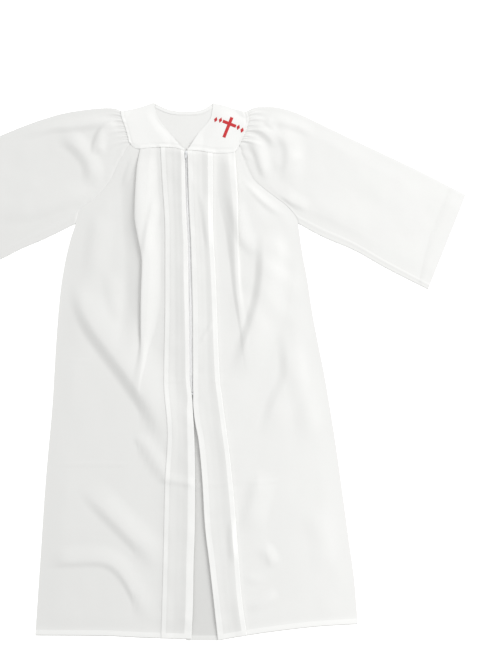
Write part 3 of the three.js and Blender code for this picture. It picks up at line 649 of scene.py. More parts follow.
@dataclass(frozen=True)
class Cut:
    """The flat size that a piece of cloth is cut to, in metres, with its seam allowances.

    Attributes:
        width: Its greatest width, all round on a sleeve.
        length: Its greatest length.
        area: Its area in square metres.
        held: How the cloth is held here.
    """

    width: float
    length: float
    area: float
    held: str = "laid"

    def declare(self, piece: bpy.types.Object, under: Sequence = (), sewn_on: Sequence = ()) -> None:
        """Take a finished piece as a sheet of this cut, and do nothing with it.

        Args:
            piece: The finished cloth; not used.
            under: Pieces or names of nodes that it lies on; not used.
            sewn_on: Pieces that go with it; not used.
        """


BACK_CUT = Cut(0.80, 1.20, 0.745)
BACK_YOKE_CUT = Cut(0.33, 0.17, 0.041)
FACING_CUT = Cut(0.15, 0.012, 0.0015)


@dataclass
class Ground:
    """Reads how high finished cloth lies, so that what lies on it can follow.

    Attributes:
        pieces: The finished pieces to look for from above.
    """

    pieces: Sequence[bpy.types.Object]

    def __post_init__(self) -> None:
        """Keep a search tree of each piece."""
        graph = bpy.context.evaluated_depsgraph_get()
        self.trees = [BVHTree.FromObject(piece, graph) for piece in self.pieces]

    def tops(self, plan: Array) -> Array:
        """Give the height of the uppermost cloth.

        Args:
            plan: x and y in millimetres, one a row.

        Returns:
            Heights in millimetres, with nan where there is no cloth.
        """
        tops = np.full(len(plan), np.nan)
        for index, (x, y) in enumerate(plan):
            start = Vector((x * MM, y * MM, 0.1))
            hits = [tree.ray_cast(start, Vector((0, 0, -1)))[0] for tree in self.trees]
            found = [hit.z / MM for hit in hits if hit]
            if found:
                tops[index] = max(found)
        return tops

    def line(self, plan: Array, lift: float) -> Array:
        """Lay a line of plan points on the cloth.

        Args:
            plan: x and y in millimetres, one a row.
            lift: How far above the cloth, in millimetres.

        Returns:
            x, y and z in metres; places off the cloth are left out.
        """
        tops = self.tops(plan)
        laid = np.column_stack([plan, tops + lift])
        return laid[~np.isnan(tops)] * MM


# ------------------------------------------------------------------ outlines of the two sides
@dataclass(frozen=True)
class Side:
    """Outlines and folds of one side of the robe, in millimetres. Rows are (y, x) or (x, y)."""

    name: str
    sign: int
    side_seam: Line
    armhole: Line
    front_edge: Line
    turned: Line
    slit_lift: float
    mottle: float
    tuck_edge: Line
    pleat_edge: Line
    pleat_depth: Line
    pleat_folded: Line
    pleat_lift: Line
    hem: Line
    yoke_seam: Line
    shoulder: Points
    yoke_outer: Points
    yoke_lower: Points
    yoke_neck: Points
    sleeve_top: Points
    sleeve_lower: Points
    folds: tuple[Fold, ...]
    sleeve_folds: tuple[Fold, ...]
    gathers: tuple["Gather", ...]
    # painted light: how much whiter this side's cloth is painted, standing for the stronger light on the side
    # towards the key lamp
    tone: float
    seed: int
    front_cut: Cut
    sleeve_cut: Cut
    yoke_cut: Cut

    def outer(self, y: Array) -> Array:
        """Give x of the side seam and armhole at heights along the robe."""
        return np.where(y < UNDERARM_Y, self.side_seam.read(y), self.armhole.read(y))


@dataclass(frozen=True)
class Gather:
    """One gather of a sleeve head.

    Attributes:
        start: Its place across the sleeve at the seam, as a share.
        drift: How much that share changes down the sleeve.
        height: Its height in millimetres.
        length: How far it runs down the sleeve, as a share.
        width: Half of its width, as a share of the sleeve's.
    """

    start: float
    drift: float
    height: float
    length: float
    width: float


RIGHT = Side(
    name="right",
    sign=-1,
    side_seam=Line(((-632, -359), (-469, -348), (-262, -334), (-68, -317), (52, -310), (179, -300),
                    (249, -290), (319, -274), (355, -262))),
    armhole=Line(((355, -262), (389, -251), (408, -226), (429, -202), (463, -176), (506, -156), (548, -131))),
    front_edge=Line(((-639, 15), (-548, 19), (-452, 20.5), (-356, 23.5), (-260, 24), (-164, 22.5), (-92, 19),
                     (-70, 17.8), (-54, 15.8), (-30, 12), (0, 9.3), (124, 9), (220, 7.5), (316, 6), (364, 3),
                     (412, 1.6), (496, 0), (543, -1.5))),
    turned=Line(((-639, 17), (-356, 17), (-260, 16.5), (-164, 16), (-92, 14), (-70, 12), (-54, 10), (0, 8),
                 (124, 9), (220, 10), (412, 9), (543, 8))),
    slit_lift=0.6,
    mottle=0.5,
    tuck_edge=Line(((-639, -57), (-468, -52), (-260, -47), (-149, -41), (-20, -50), (180, -47),
                    (329, -47), (478, -55), (543, -58))),
    pleat_edge=Line(((-639, -150), (-120, -132), (-40, -125), (40, -112), (103, -107), (196, -103),
                     (263, -101), (323, -111), (376, -119), (472, -115), (543, -107))),
    pleat_depth=Line(((40, 8), (103, 9), (196, 12), (263, 14), (323, 18), (376, 22), (472, 24), (543, 22))),
    pleat_folded=Line(((-10, 0), (50, 0.15), (110, 0.7), (196, 1), (543, 1))),
    pleat_lift=Line(((-70, 0), (-10, 0.3), (50, 0.8), (103, 1.05), (196, 1.22), (330, 1.2), (430, 0.95),
                     (543, 0.8))),
    hem=Line(((-359, -631), (-204, -632), (-91, -637), (14, -640))),
    yoke_seam=Line(((-131, 548), (-113, 541), (-75, 543), (-29, 543), (0, 537))),
    shoulder=((-75, 646), (-112, 634), (-154, 625)),
    yoke_outer=((-154, 625), (-153, 614), (-142, 582), (-134, 551)),
    yoke_lower=((-1.5, 531.5), (-29, 538), (-75, 538), (-112, 535), (-124, 540), (-134, 551)),
    yoke_neck=((-75, 646), (-71, 628), (-64, 609), (-46, 583), (-26, 560), (-1.5, 531.5)),
    sleeve_top=((-149, 624), (-169, 631), (-196, 632), (-246, 627), (-300, 617), (-370, 595),
                (-444, 565), (-564, 511), (-674, 458)),
    sleeve_lower=((-262, 355), (-330, 322), (-394, 295), (-450, 268), (-516, 250), (-581, 230)),
    folds=(
        Fold(((-271, 239), (-252, 172), (-223, 112), (-180, 52), (-130, -15), (-86, -82), (-58, -140),
              (-36, -207)), 11, 30, 95, 0.3),
        Fold(((-122, -146), (-92, -186), (-64, -232), (-46, -262)), 5, 16, 34, 0.3),
        Fold(((-257, -265), (-204, -320), (-144, -380), (-98, -425), (-70, -458), (-48, -484)),
             6, 26, 54, 0.35),
        Fold(((-345, -462), (-264, -455), (-190, -457), (-146, -491), (-108, -560), (-92, -606)),
             4.5, 16, 44, 0.2),
        Fold(((-72, 430), (-80, 380), (-92, 320), (-100, 260)), 4, 12, 20, 0.3),
        Fold(((-98, 540), (-110, 460), (-113, 400), (-106, 292), (-106, 196), (-118, 88), (-137, 23)),
             6.5, 42, 46, 0.18),
        Fold(((-92.6, -596), (-92.6, -637)), 1.2, 3, 5, 0.3),
        Fold(((-286, 27), (-250, 25), (-211, 26)), 0.6, 4, 6, 0.3),
        Fold(((-336, -226), (-228, -221), (-122, -224)), 0.6, 4, 6, 0.2),
        Fold(((-91, -207), (-90, -300), (-91, -385)), 0.6, 4, 6, 0.3),
        Fold(((-52, -20), (-20, -22), (12, -20)), 0.7, 4, 6, 0.2),
        Fold(((24, -268), (-20, -261), (-62, -254)), 2.4, 22, 11, 0.15),
        Fold(((-204, 400), (-214, 316), (-223, 196)), 3, 34, 46, 0.35),
        Fold(((-180, 250), (-170, 180), (-150, 110)), 2.4, 28, 36, 0.35),
        Fold(((-128, 536), (-150, 505), (-168, 470)), 2.4, 9, 15, 0.3),
        Fold(((-120, 532), (-138, 480), (-150, 440)), 2.0, 9, 14, 0.3),
    ),
    sleeve_folds=(
        Fold(((-217, 516), (-214, 550), (-197, 583), (-157, 605)), 4.6, 30, 11, 0.22),
        Fold(((-306, 566), (-268, 547), (-238, 515), (-226, 485), (-226, 440)), 5.2, 25, 36, 0.3),
        Fold(((-192, 585), (-204, 556), (-202, 508)), 1.6, 12, 20, 0.35),
        Fold(((-400, 562), (-330, 586), (-262, 590), (-205, 598), (-160, 614)), 4.2, 19, 36, 0.25),
        Fold(((-450, 368), (-358, 388), (-286, 412), (-213, 440)), 3.4, 28, 48, 0.3),
        Fold(((-330, 470), (-420, 440), (-520, 400)), 2, 51, 64, 0.35),
        Fold(((-470, 520), (-540, 470), (-600, 420)), 2, 51, 64, 0.35),
    ),
    gathers=(
        Gather(0.03, 0.025, 1.1, 0.063, 0.02), Gather(0.075, 0.02, 1.7, 0.099, 0.022),
        Gather(0.13, 0.015, 1.2, 0.05, 0.016), Gather(0.17, 0.025, 2.1, 0.135, 0.026),
        Gather(0.22, 0.01, 1.1, 0.041, 0.014), Gather(0.255, 0.02, 1.8, 0.09, 0.02),
        Gather(0.3, 0, 1.3, 0.054, 0.016), Gather(0.34, 0.025, 2.2, 0.117, 0.024),
        Gather(0.39, 0, 1.2, 0.045, 0.015), Gather(0.425, 0.015, 1.9, 0.081, 0.02),
        Gather(0.47, 0, 1.4, 0.059, 0.017), Gather(0.51, 0.02, 2.3, 0.108, 0.024),
        Gather(0.56, 0.01, 1.2, 0.054, 0.018), Gather(0.61, 0, 0.9, 0.045, 0.02),
    ),
    tone=0.0,
    seed=11,
    front_cut=Cut(0.43, 1.24, 0.46, "folded"),
    sleeve_cut=Cut(0.76, 0.60, 0.285, "gathered"),
    yoke_cut=Cut(0.16, 0.14, 0.0105),
)
LEFT = Side(
    name="left",
    sign=1,
    side_seam=Line(((-632, 415), (-529, 407), (-428, 394), (-308, 379), (-164, 360), (-8, 335), (62, 321),
                    (141, 306), (220, 294), (290, 281), (355, 272))),
    armhole=Line(((355, 272), (376, 262), (399, 242), (431, 199), (463, 162), (496, 146), (548, 129))),
    front_edge=Line(((-639, 80), (-548, 70), (-452, 59), (-356, 47.5), (-260, 42), (-164, 33), (-115, 23.8),
                     (-92, 21), (-70, 19.6), (-54, 19.9), (-30, 19.4), (0, 19.5), (124, 19), (220, 17),
                     (316, 14.4), (364, 12), (412, 9.6), (496, 7), (543, 5.5))),
    turned=Line(((-639, 14), (-548, 13), (-452, 13), (-164, 13), (-115, 12), (220, 12), (316, 10), (364, 10),
                 (412, 11), (543, 11))),
    slit_lift=1.5,
    mottle=1.3,
    tuck_edge=Line(((-639, 149), (-533, 135), (-428, 127), (-227, 110), (-58, 88), (-17, 83), (230, 73),
                    (364, 66.5), (543, 65.5))),
    pleat_edge=Line(((-639, 240), (90, 150), (220, 134), (335, 130), (412, 126), (472, 122), (543, 118))),
    pleat_depth=Line(((335, 12), (412, 12), (472, 14), (543, 14))),
    pleat_folded=Line(((90, 0), (220, 0.15), (335, 0.5), (412, 0.9), (472, 1), (543, 1))),
    pleat_lift=Line(((0, 0), (90, 0.2), (220, 0.6), (335, 1), (543, 1))),
    hem=Line(((80, -643), (144, -632), (228, -620), (329, -609), (415, -604))),
    yoke_seam=Line(((0, 537), (38, 535), (66, 530), (112, 531), (122, 540), (129, 548))),
    shoulder=((67, 645), (96, 639), (118, 631), (148, 624)),
    yoke_outer=((148, 624), (153, 611), (152, 596), (144, 572), (132, 546)),
    yoke_lower=((5.5, 531.5), (38, 530), (66, 525), (112, 525.5), (124, 533), (132, 546)),
    yoke_neck=((67, 645), (66, 630), (61, 608), (48, 590), (32, 572), (5.5, 531.5)),
    sleeve_top=((145, 622), (157, 629), (177, 635), (222, 634), (262, 623), (301, 606), (361, 577),
                (460, 530), (559, 483), (674, 424)),
    sleeve_lower=((272, 355), (330, 324), (408, 291), (486, 248), (584, 199)),
    folds=(
        Fold(((190, 345), (188, 243), (177, 166), (149, 74), (119, -20)), 9, 22, 70, 0.3),
        Fold(((242, 112), (247, -8), (218, -77), (190, -164)), 4.5, 26, 60, 0.3),
        Fold(((185, -231), (165, -308), (143, -392)), 4.5, 26, 50, 0.35),
        Fold(((175, -425), (197, -442), (214, -481)), 3.2, 18, 26, 0.35),
        Fold(((108, 450), (114, 412), (124, 366), (138, 322), (158, 298), (190, 292)), 3.6, 20, 34, 0.35),
        Fold(((136, 516), (168, 470), (200, 440), (232, 420)), 3.2, 12, 26, 0.3),
        Fold(((134, 470), (170, 430), (206, 396), (250, 376)), 3.0, 14, 28, 0.3),
        Fold(((36, 440), (45, 395), (52, 340), (60, 285)), 2.4, 12, 20, 0.3),
        Fold(((66, 118), (50, 92), (33, 68)), 1.5, 6, 10, 0.3),
        Fold(((116, -340), (114, -400), (120, -460)), 2.6, 16, 10, 0.3),
        Fold(((150, -575), (185, -560), (225, -538)), 3, 20, 26, 0.35),
        Fold(((139, -488), (162, -501), (187, -512)), 1.5, 14, 20, 0.35),
        Fold(((40, -262), (75, -266), (118, -262)), 0.7, 5, 6, 0.2),
        Fold(((128, -262), (190, -268), (250, -262)), 0.6, 4, 6, 0.3),
        Fold(((250, 60), (285, -60), (300, -200)), 2.6, 38, 60, 0.35),
        Fold(((300, -330), (330, -430), (330, -520)), 2.2, 38, 56, 0.35),
        Fold(((60, -22), (90, -26), (118, -22)), 0.6, 4, 6, 0.2),
    ),
    sleeve_folds=(
        Fold(((150, 598), (181, 580), (206, 560), (214, 533)), 4.2, 16, 30, 0.3),
        Fold(((143, 568), (170, 530), (181, 496), (196, 455)), 4.2, 14, 30, 0.3),
        Fold(((190, 604), (206, 592), (222, 584)), 2, 12, 18, 0.35),
        Fold(((200, 480), (240, 503), (286, 524)), 2.6, 20, 34, 0.35),
        Fold(((210, 590), (244, 548), (248, 500), (232, 450)), 3.8, 20, 46, 0.3),
        Fold(((226, 430), (262, 404), (300, 388)), 2.6, 14, 30, 0.35),
        Fold(((276, 412), (372, 376), (468, 335)), 1.8, 44, 55, 0.35),
        Fold(((170, 611), (240, 600), (324, 571)), 2.6, 21, 39, 0.35),
        Fold(((330, 540), (420, 480), (520, 430)), 1.4, 55, 69, 0.35),
        Fold(((480, 440), (540, 380), (580, 300)), 1.2, 51, 64, 0.35),
    ),
    gathers=(
        Gather(0.025, 0.02, 1.7, 0.06, 0.018), Gather(0.065, 0.025, 2.5, 0.1, 0.02),
        Gather(0.115, 0.01, 1.6, 0.05, 0.015), Gather(0.155, 0.025, 2.6, 0.12, 0.024),
        Gather(0.205, 0, 1.3, 0.04, 0.014), Gather(0.24, 0.02, 2.7, 0.08, 0.019),
        Gather(0.29, 0, 1.8, 0.065, 0.016), Gather(0.325, 0.015, 3.1, 0.13, 0.025),
        Gather(0.375, 0, 1.4, 0.045, 0.014), Gather(0.41, 0.025, 2.6, 0.085, 0.02),
        Gather(0.455, 0.005, 2, 0.07, 0.017), Gather(0.5, 0.02, 3, 0.14, 0.026),
        Gather(0.555, 0, 1.7, 0.065, 0.018), Gather(0.6, 0.01, 1.3, 0.06, 0.02),
    ),
    # painted light: the robe's left side is painted whiter, as if lit more strongly
    tone=0.12,
    seed=23,
    front_cut=Cut(0.41, 1.23, 0.415, "folded"),
    sleeve_cut=Cut(0.76, 0.60, 0.275, "gathered"),
    yoke_cut=Cut(0.16, 0.14, 0.012),
)
BACK_NECK: Points = (
    (-75, 646), (-60, 638), (-41, 630), (-22, 626), (0, 625), (29, 626), (50, 633), (67, 645))


# ------------------------------------------------------------------ fronts
@dataclass
class Section:
    """Cross-sections of many rows at once, put together point by point out from the zip."""

    q: list[Array] = field(default_factory=list)
    rise: list[Array] = field(default_factory=list)
    layers: list[Array] = field(default_factory=list)

    def put(self, q: Array, rise: Array | float, layers: float) -> None:
        """Add one column of points."""
        self.q.append(np.asarray(q, dtype=float))
        self.rise.append(np.zeros_like(q) + rise)
        self.layers.append(np.zeros_like(q) + layers)

    def run(self, q: Array, rise: Array | float, layers: float, count: int) -> None:
        """Add columns on a soft line from the last one to this place."""
        start_q, start_rise = self.q[-1], self.rise[-1]
        for step in range(1, count + 1):
            share = step / count
            self.put(blend(start_q, q, share), blend(start_rise, rise, (smooth(share) + share) / 2), layers)

    def turn(self, rise: Array | float, way: int, layers: float, count: int = 4) -> None:
        """Add a half-round turn from the last column up or down to another layer."""
        q, start = self.q[-1], self.rise[-1]
        reach = abs(np.asarray(rise) - start) / 2
        for step in range(1, count + 1):
            angle = math.pi * step / count
            height = blend(start, rise, (1 - math.cos(angle)) / 2)
            self.put(q + way * reach * math.sin(angle), height, layers)

    def mixed(self, other: "Section", share: Array) -> None:
        """Blend every column with another section's, row by row; share 1 keeps this one."""
        for mine, theirs in ((self.q, other.q), (self.rise, other.rise), (self.layers, other.layers)):
            for index, column in enumerate(theirs):
                mine[index] = blend(column, mine[index], share)

    def extend(self, other: "Section") -> None:
        """Add another section's columns."""
        self.q += other.q
        self.rise += other.rise
        self.layers += other.layers


@dataclass
class FrontPanel:
    """One front of the robe, from the zip to the side seam."""

    side: Side
    row_step: float = 5.0
    tuck_width: float = 10.5
    tuck_ease_share: float = 0.42
    turned_ease_share: float = 0.3
    pleat_ease: float = 36.0
    pleat_height: float = 3.3
    zip_lift_reach: float = 36.0
    over_tape: float = 0.6
    tuck_bank: float = 0.5
    tuck_bank_reach: float = 9.0
    edge_fade: float = 60.0
    quiet_reach: float = 56.0
    yoke_fade: float = 60.0
    open_reach: float = 26.0
    over_sleeve: float = 0.8
    seam_dip: float = 0.3

    def rows(self) -> Array:
        """Give the heights of the cross-sections, with close ones at the hem strip's edge."""
        hem_edge = HEM_Y + HEM_DEPTH
        main = np.arange(YOKE_SEAM_Y, hem_edge + 3, -self.row_step)
        return np.concatenate([main, [hem_edge + 0.6, hem_edge - 0.6, hem_edge - 6, HEM_Y + 1.0, HEM_Y]])

    def sharp_fold(self, edge: Array, depth: Array, lift: Array, ease: Array, crisp: bool) -> Section:
        """Lay out a pressed fold, from the middle of the robe outwards.

        Args:
            edge: Distance of the fold's edge from the middle plane, for each row.
            depth: How far its under layers reach back.
            lift: Height between its layers.
            ease: How far its upper layer takes to come down on the middle side.
            crisp: Whether the under layers show as a sharp whiter strip.

        Returns:
            The fold's own columns.
        """
        made = Section()
        back = edge - depth
        strip = STRIP if crisp else blend(DOUBLE, STACKED, 0.3)
        made.put(back - ease, 0.0, BAND if crisp else DOUBLE)
        made.run(back - 0.4, 2 * lift, BAND if crisp else DOUBLE, 8)
        made.put(back + 0.4, 2 * lift, strip)
        made.run(edge, 2 * lift, strip, 4)
        made.turn(lift, 1, strip)
        made.run(back, lift, DOUBLE, 4)
        made.turn(0.0, -1, DOUBLE)
        made.run(edge, 0.0, DOUBLE, 4)
        return made

    def open_fold(self, like: Section, edge: Array, lift: Array) -> Section:
        """Lay out the same columns where the fold has opened to a soft ridge."""
        made = Section()
        count = len(like.q)
        for index in range(count):
            share = index / (count - 1)
            top = smooth(share / 0.3) if share < 0.3 else 1 - smooth((share - 0.3) / 0.7)
            made.put(edge + self.open_reach * (share - 0.75), 2 * lift * top, DOUBLE)
        return made

    def section(self, y: Array) -> Section:
        """Lay out the whole cross-section at each row."""
        side = self.side
        edge = side.front_edge.read(y) * side.sign
        tuck = side.tuck_edge.read(y) * side.sign
        pleat = side.pleat_edge.read(y) * side.sign
        outer = side.outer(y) * side.sign + self.over_sleeve * (y > UNDERARM_Y)
        made = Section()
        turn = edge + SPACING / 2
        under = turn + side.turned.read(y)
        made.put(under, 0.0, DOUBLE)
        made.run(turn, 0.0, DOUBLE, 4)
        made.turn(SPACING, -1, STRIP)
        made.run(under - 0.4, SPACING, STRIP, 5)
        made.put(under + 0.4, SPACING * 0.95, BAND)
        band = tuck - self.tuck_width - under
        made.run(under + band * self.turned_ease_share, 0.0, BAND, 5)
        lift = np.full_like(y, SPACING)
        width = np.full_like(y, self.tuck_width)
        folded = self.sharp_fold(tuck, width, lift, band * self.tuck_ease_share, True)
        made.run(folded.q[0] - 1.0, 0.0, BAND, 6)
        made.extend(folded)
        made.put(tuck + 1.3, self.tuck_bank, DOUBLE)
        made.run(tuck + self.tuck_bank_reach, 0.0, DOUBLE, 5)
        height = blend(SPACING, self.pleat_height, smooth((YOKE_SEAM_Y - y) / self.yoke_fade))
        height = height * side.pleat_lift.read(y)
        room = pleat - side.pleat_depth.read(y) - tuck - self.tuck_bank_reach - 2.0
        ease = np.minimum(self.pleat_ease, room)
        deep = self.sharp_fold(pleat, side.pleat_depth.read(y), height, ease, False)
        deep.mixed(self.open_fold(deep, pleat, height), side.pleat_folded.read(y))
        made.run(deep.q[0] - 1.0, 0.0, DOUBLE, 5)
        made.extend(deep)
        made.run(outer, 0.0, DOUBLE, 46)
        return made

    def ground(self, q: Array, y: Array, edge: Array, tuck: Array, outer: Array) -> Array:
        """Give the height of a front's lowest layer.

        Args:
            q: Distance from the middle plane.
            y: Place along the robe.
            edge: Front edge at that row.
            tuck: Tuck's edge at that row.
            outer: Side seam or armhole at that row.

        Returns:
            Heights in millimetres.
        """
        side = self.side
        x = q * side.sign
        free = smooth((outer - q) / self.edge_fade) * smooth((YOKE_SEAM_Y - y) / self.yoke_fade)
        zipped = smooth((y - ZIP_END_Y) / 30 + 1)
        zip_lift = self.over_tape * smooth((self.zip_lift_reach - (q - edge)) / 14) * zipped
        hem = 0.5 * smooth((HEM_Y + 2 * HEM_DEPTH - y) / HEM_DEPTH)
        broad = uneven(1.1, side.seed, 95, 150, x, y)
        fine = uneven(0.35, side.seed + 1, 34, 58, x, y)
        pucker_at = np.exp(-np.abs(q - tuck) / 11) + np.exp(-np.abs(q - edge - side.turned.read(y)) / 11)
        pucker = uneven(0.45, side.seed + 2, 60, 15, x, y) * pucker_at
        in_band = smooth((q - edge) / 14) * smooth((tuck - q) / 14)
        crinkle = uneven(0.7, side.seed + 8, 26, 34, x, y) * in_band
        beyond = smooth((q - tuck - 24) / 30) * smooth((y - 40) / 160)
        mottle = uneven(side.mottle, side.seed + 9, 38, 52, x + 0.55 * y, y - 0.4 * x) * beyond
        near_yoke = smooth((YOKE_SEAM_Y - y) / 18) * np.exp(-(YOKE_SEAM_Y - y) / 60)
        seam = uneven(1.6, side.seed + 3, 17, 120, x, y) * near_yoke
        seam_dip = self.seam_dip * (1 - smooth((outer - q) / 7)) * (y > UNDERARM_Y)
        slit = side.slit_lift * smooth((ZIP_END_Y - 12 - y) / 60) * smooth((y - HEM_Y + 14) / 60)
        slit = slit * np.exp(-np.maximum(q - edge, 0) / 12)
        quiet = smooth((outer - q) / self.quiet_reach)
        quiet = quiet * smooth((y - HEM_Y) / 50) * smooth((YOKE_SEAM_Y - y) / 14)
        level = FRONT_LEVEL + folds_rise(side.folds, x, y) * free + zip_lift + hem + slit
        return level + (broad + fine + pucker + crinkle + mottle + seam) * quiet - seam_dip

    def sheet(self) -> ClothSheet:
        """Work out the front's grid of points."""
        side = self.side
        rows = self.rows()
        made = self.section(rows)
        q = np.stack(made.q, 1)
        rise = np.stack(made.rise, 1)
        layers = np.stack(made.layers, 1)
        y = np.repeat(rows[:, None], q.shape[1], 1)
        edge, tuck, outer = (np.repeat(v[:, None], q.shape[1], 1) for v in (
            side.front_edge.read(rows) * side.sign, side.tuck_edge.read(rows) * side.sign,
            side.outer(rows) * side.sign))
        z = self.ground(q, y, edge, tuck, outer) + rise
        x = q * side.sign
        hem_shift = (side.hem.read(x) - HEM_Y) * smooth(y / HEM_Y)
        seam_shift = (side.yoke_seam.read(x) - YOKE_SEAM_Y) * smooth(1 - (YOKE_SEAM_Y - y) / self.yoke_fade)
        hem_strip = (y < HEM_Y + HEM_DEPTH).astype(float)
        points = np.stack([x, y + hem_shift + seam_shift, z + 0.35 * hem_strip], -1)
        # the side's painted light is added to the layers value here
        layers = np.maximum(layers, hem_strip * STACKED) + side.tone
        return ClothSheet(f"front_{side.name}_cloth", points, layers)

    def build(self) -> bpy.types.Object:
        """Make the front."""
        return adopt(self.sheet().build(), "robe_cloth", f"front_panel_{self.side.name}")


# ------------------------------------------------------------------ back
@dataclass
class Back:
    """Back panel, back yoke and neck facing, flat on the surface."""

    columns: int = 110
    row_step: float = 8.0
    yoke_seam_right: float = 506.0
    yoke_seam_left: float = 496.0
    drop: float = 2.0
    ripple: float = 0.12
    facing_width: float = 9.0
    facing_lift: float = 0.75
    armhole_columns: int = 30

    def panel(self) -> bpy.types.Object:
        """Make the back panel with its turned-up hem."""
        hem_edge = HEM_Y + HEM_DEPTH
        main = np.linspace(0, 1, int((self.yoke_seam_left - hem_edge) / self.row_step))
        low = np.array([hem_edge + 0.6, hem_edge - 0.6, HEM_Y + 5, HEM_Y])
        left_y = np.concatenate([blend(self.yoke_seam_left, hem_edge + 6, main), low])
        right_y = np.concatenate([blend(self.yoke_seam_right, hem_edge + 6, main), low])
        share = np.linspace(0, 1, self.columns + 1)[None, :]
        x = blend(RIGHT.outer(right_y)[:, None], LEFT.outer(left_y)[:, None], share)
        y = blend(right_y[:, None], left_y[:, None], share)
        hem = np.where(x < 0, RIGHT.hem.read(x), LEFT.hem.read(x))
        strip = (y < hem_edge).astype(float)
        creases = folds_rise((
            Fold(((10, -262), (30, -266), (60, -262)), 0.9, 5, 7, 0.2),
            Fold(((5, -466), (40, -464), (75, -466)), 0.9, 4, 6, 0.2),
        ), x, y)
        ripple = uneven(self.ripple, 41, 60, 120, x, y) * smooth((y - HEM_Y) / 30)
        z = FLOOR_LEVEL + creases + ripple + 0.3 * strip
        y = y + (hem - HEM_Y - self.drop) * smooth(y / HEM_Y)
        y = y - np.where(left_y[:, None] == left_y[0], SEAM_GAP, 0)
        # the bare back panel takes the greyest cloth colour, painted shade for where it shows between the
        # fronts
        sheet = ClothSheet("back_cloth", np.stack([x, y, z], -1), strip * DOUBLE)
        return adopt(sheet.build(), "robe_cloth", "back_panel")

    def yoke(self) -> bpy.types.Object:
        """Make the back yoke, whose inside shows in the neck."""
        neck = evenly(spline(BACK_NECK, 10), 70)
        foot = blend(np.array([RIGHT.armhole.read(self.yoke_seam_right), self.yoke_seam_right]),
                     np.array([LEFT.armhole.read(self.yoke_seam_left), self.yoke_seam_left]),
                     np.linspace(0, 1, 151)[:, None])
        tops = []
        for side in (RIGHT, LEFT):
            shoulder = evenly(spline(side.shoulder, 10), 40)
            tops.append(shoulder[::-1] if side.sign < 0 else shoulder)
        top = np.vstack([tops[0], neck[1:-1], tops[1]])
        top = evenly(top, 150)
        v = np.linspace(0, 1, 36)[:, None, None]
        plan = top[None] * (1 - v) + foot[None] * v
        for side in (RIGHT, LEFT):
            seam = SleeveSeam(side).whole()
            seam = seam[seam[:, 1] >= foot[0 if side.sign < 0 else -1, 1] - 0.01]
            edge = evenly(seam, 35)
            column = 0 if side.sign < 0 else -1
            shift = edge - plan[:, column]
            reach = self.armhole_columns
            weight = np.linspace(1, 0, reach) if side.sign < 0 else np.linspace(0, 1, reach)
            part = slice(0, reach) if side.sign < 0 else slice(-reach, None)
            plan[:, part] += shift[:, None, :] * weight[None, :, None]
        x, y = plan[..., 0], plan[..., 1]
        z = FLOOR_LEVEL + uneven(self.ripple, 43, 40, 40, x, y)
        sheet = ClothSheet("back_yoke_cloth", np.stack([x, y, z], -1), np.full_like(z, LINED))
        return adopt(sheet.build(), "robe_cloth", "back_yoke")

    def facing(self) -> bpy.types.Object:
        """Make the narrow facing strip along the back neck."""
        curve = evenly(spline(BACK_NECK, 12), 100)[5:-5]
        steps = np.linspace(SEAM_GAP, self.facing_width, 7)
        plan = curve[:, None, :] + rightward(curve)[:, None, :] * steps[None, :, None]
        z = np.full(plan.shape[:2], FLOOR_LEVEL + self.facing_lift)
        sheet = ClothSheet("neck_facing_cloth", np.dstack([plan, z]), np.full_like(z, STRIP), 0.4)
        return adopt(sheet.build(), "robe_cloth", "back_neck_facing")


# ------------------------------------------------------------------ front yokes
@dataclass
class FrontYoke:
    """One front yoke, lapped over the front and the sleeve head."""

    side: Side
    steps: int = 80
    shoulder_ease: float = 34.0
    puff: float = 2.4
    rim_width: float = 16.0
    reach: float = 110.0
    clearance: float = 0.35
    bridge_cells: int = 2
    lean_reach: float = 46.0
    least: float = 1.45

    def plan(self) -> tuple[Array, Array]:
        """Give the yoke's plan points and their distance to the shoulder seam."""
        side = self.side
        u = np.linspace(0, 1, self.steps)
        top, bottom = (evenly(spline(p, 10), 120) for p in (side.shoulder, side.yoke_lower))
        neck, outer = (evenly(spline(p, 10), 120) for p in (side.yoke_neck, side.yoke_outer))
        t, b, n, o = along(top, u), along(bottom, u), along(neck, u), along(outer, u)
        gu, gv = u[None, :, None], u[:, None, None]
        ruled = t[None] * (1 - gv) + b[None] * gv + n[:, None] * (1 - gu) + o[:, None] * gu
        corners = ((1 - gu) * (1 - gv) * t[0] + gu * (1 - gv) * t[-1]
                   + (1 - gu) * gv * b[0] + gu * gv * b[-1])
        plan = ruled - corners
        return plan, np.linalg.norm(plan - t[None], axis=2)

    def build(self, ground: "Ground") -> bpy.types.Object:
        """Make the yoke so that it follows the cloth beneath it.

        Args:
            ground: The finished front, sleeve and back yoke under it.

        Returns:
            The finished yoke.
        """
        plan, distance = self.plan()
        x, y = plan[..., 0], plan[..., 1]
        u = np.linspace(0, 1, self.steps)[None, :]
        v = np.linspace(0, 1, self.steps)[:, None]
        tops = ground.tops(plan.reshape(-1, 2)).reshape(x.shape)
        resting = bridge(np.where(np.isnan(tops), FLOOR_LEVEL, tops), self.bridge_cells) + self.clearance
        puffed = self.least + self.puff * smooth(distance / self.shoulder_ease) * smooth(u * self.reach / 34)
        hollow = 0.8 * Ripple(self.side.seed + 7, 46, 40).height(x, y) * smooth(v / 0.3)
        rim = np.minimum(1 - u, 1 - v) * self.reach
        inside = np.maximum(resting, puffed + hollow)
        for edge, share in ((resting[:, -1:], u), (resting[-1:, :], v)):
            lean = (edge - self.least) * smooth(1 - (1 - share) * self.reach / self.lean_reach)
            inside = np.maximum(inside, self.least + lean)
        z = np.maximum(blend(resting, inside, smooth(rim / self.rim_width)), self.least)
        points = np.stack([x, y, z], -1)
        sheet = ClothSheet(f"yoke_{self.side.name}_cloth", points, np.full_like(z, LAPPED), 0.5)
        return adopt(sheet.build(), "robe_cloth", f"front_yoke_{self.side.name}")


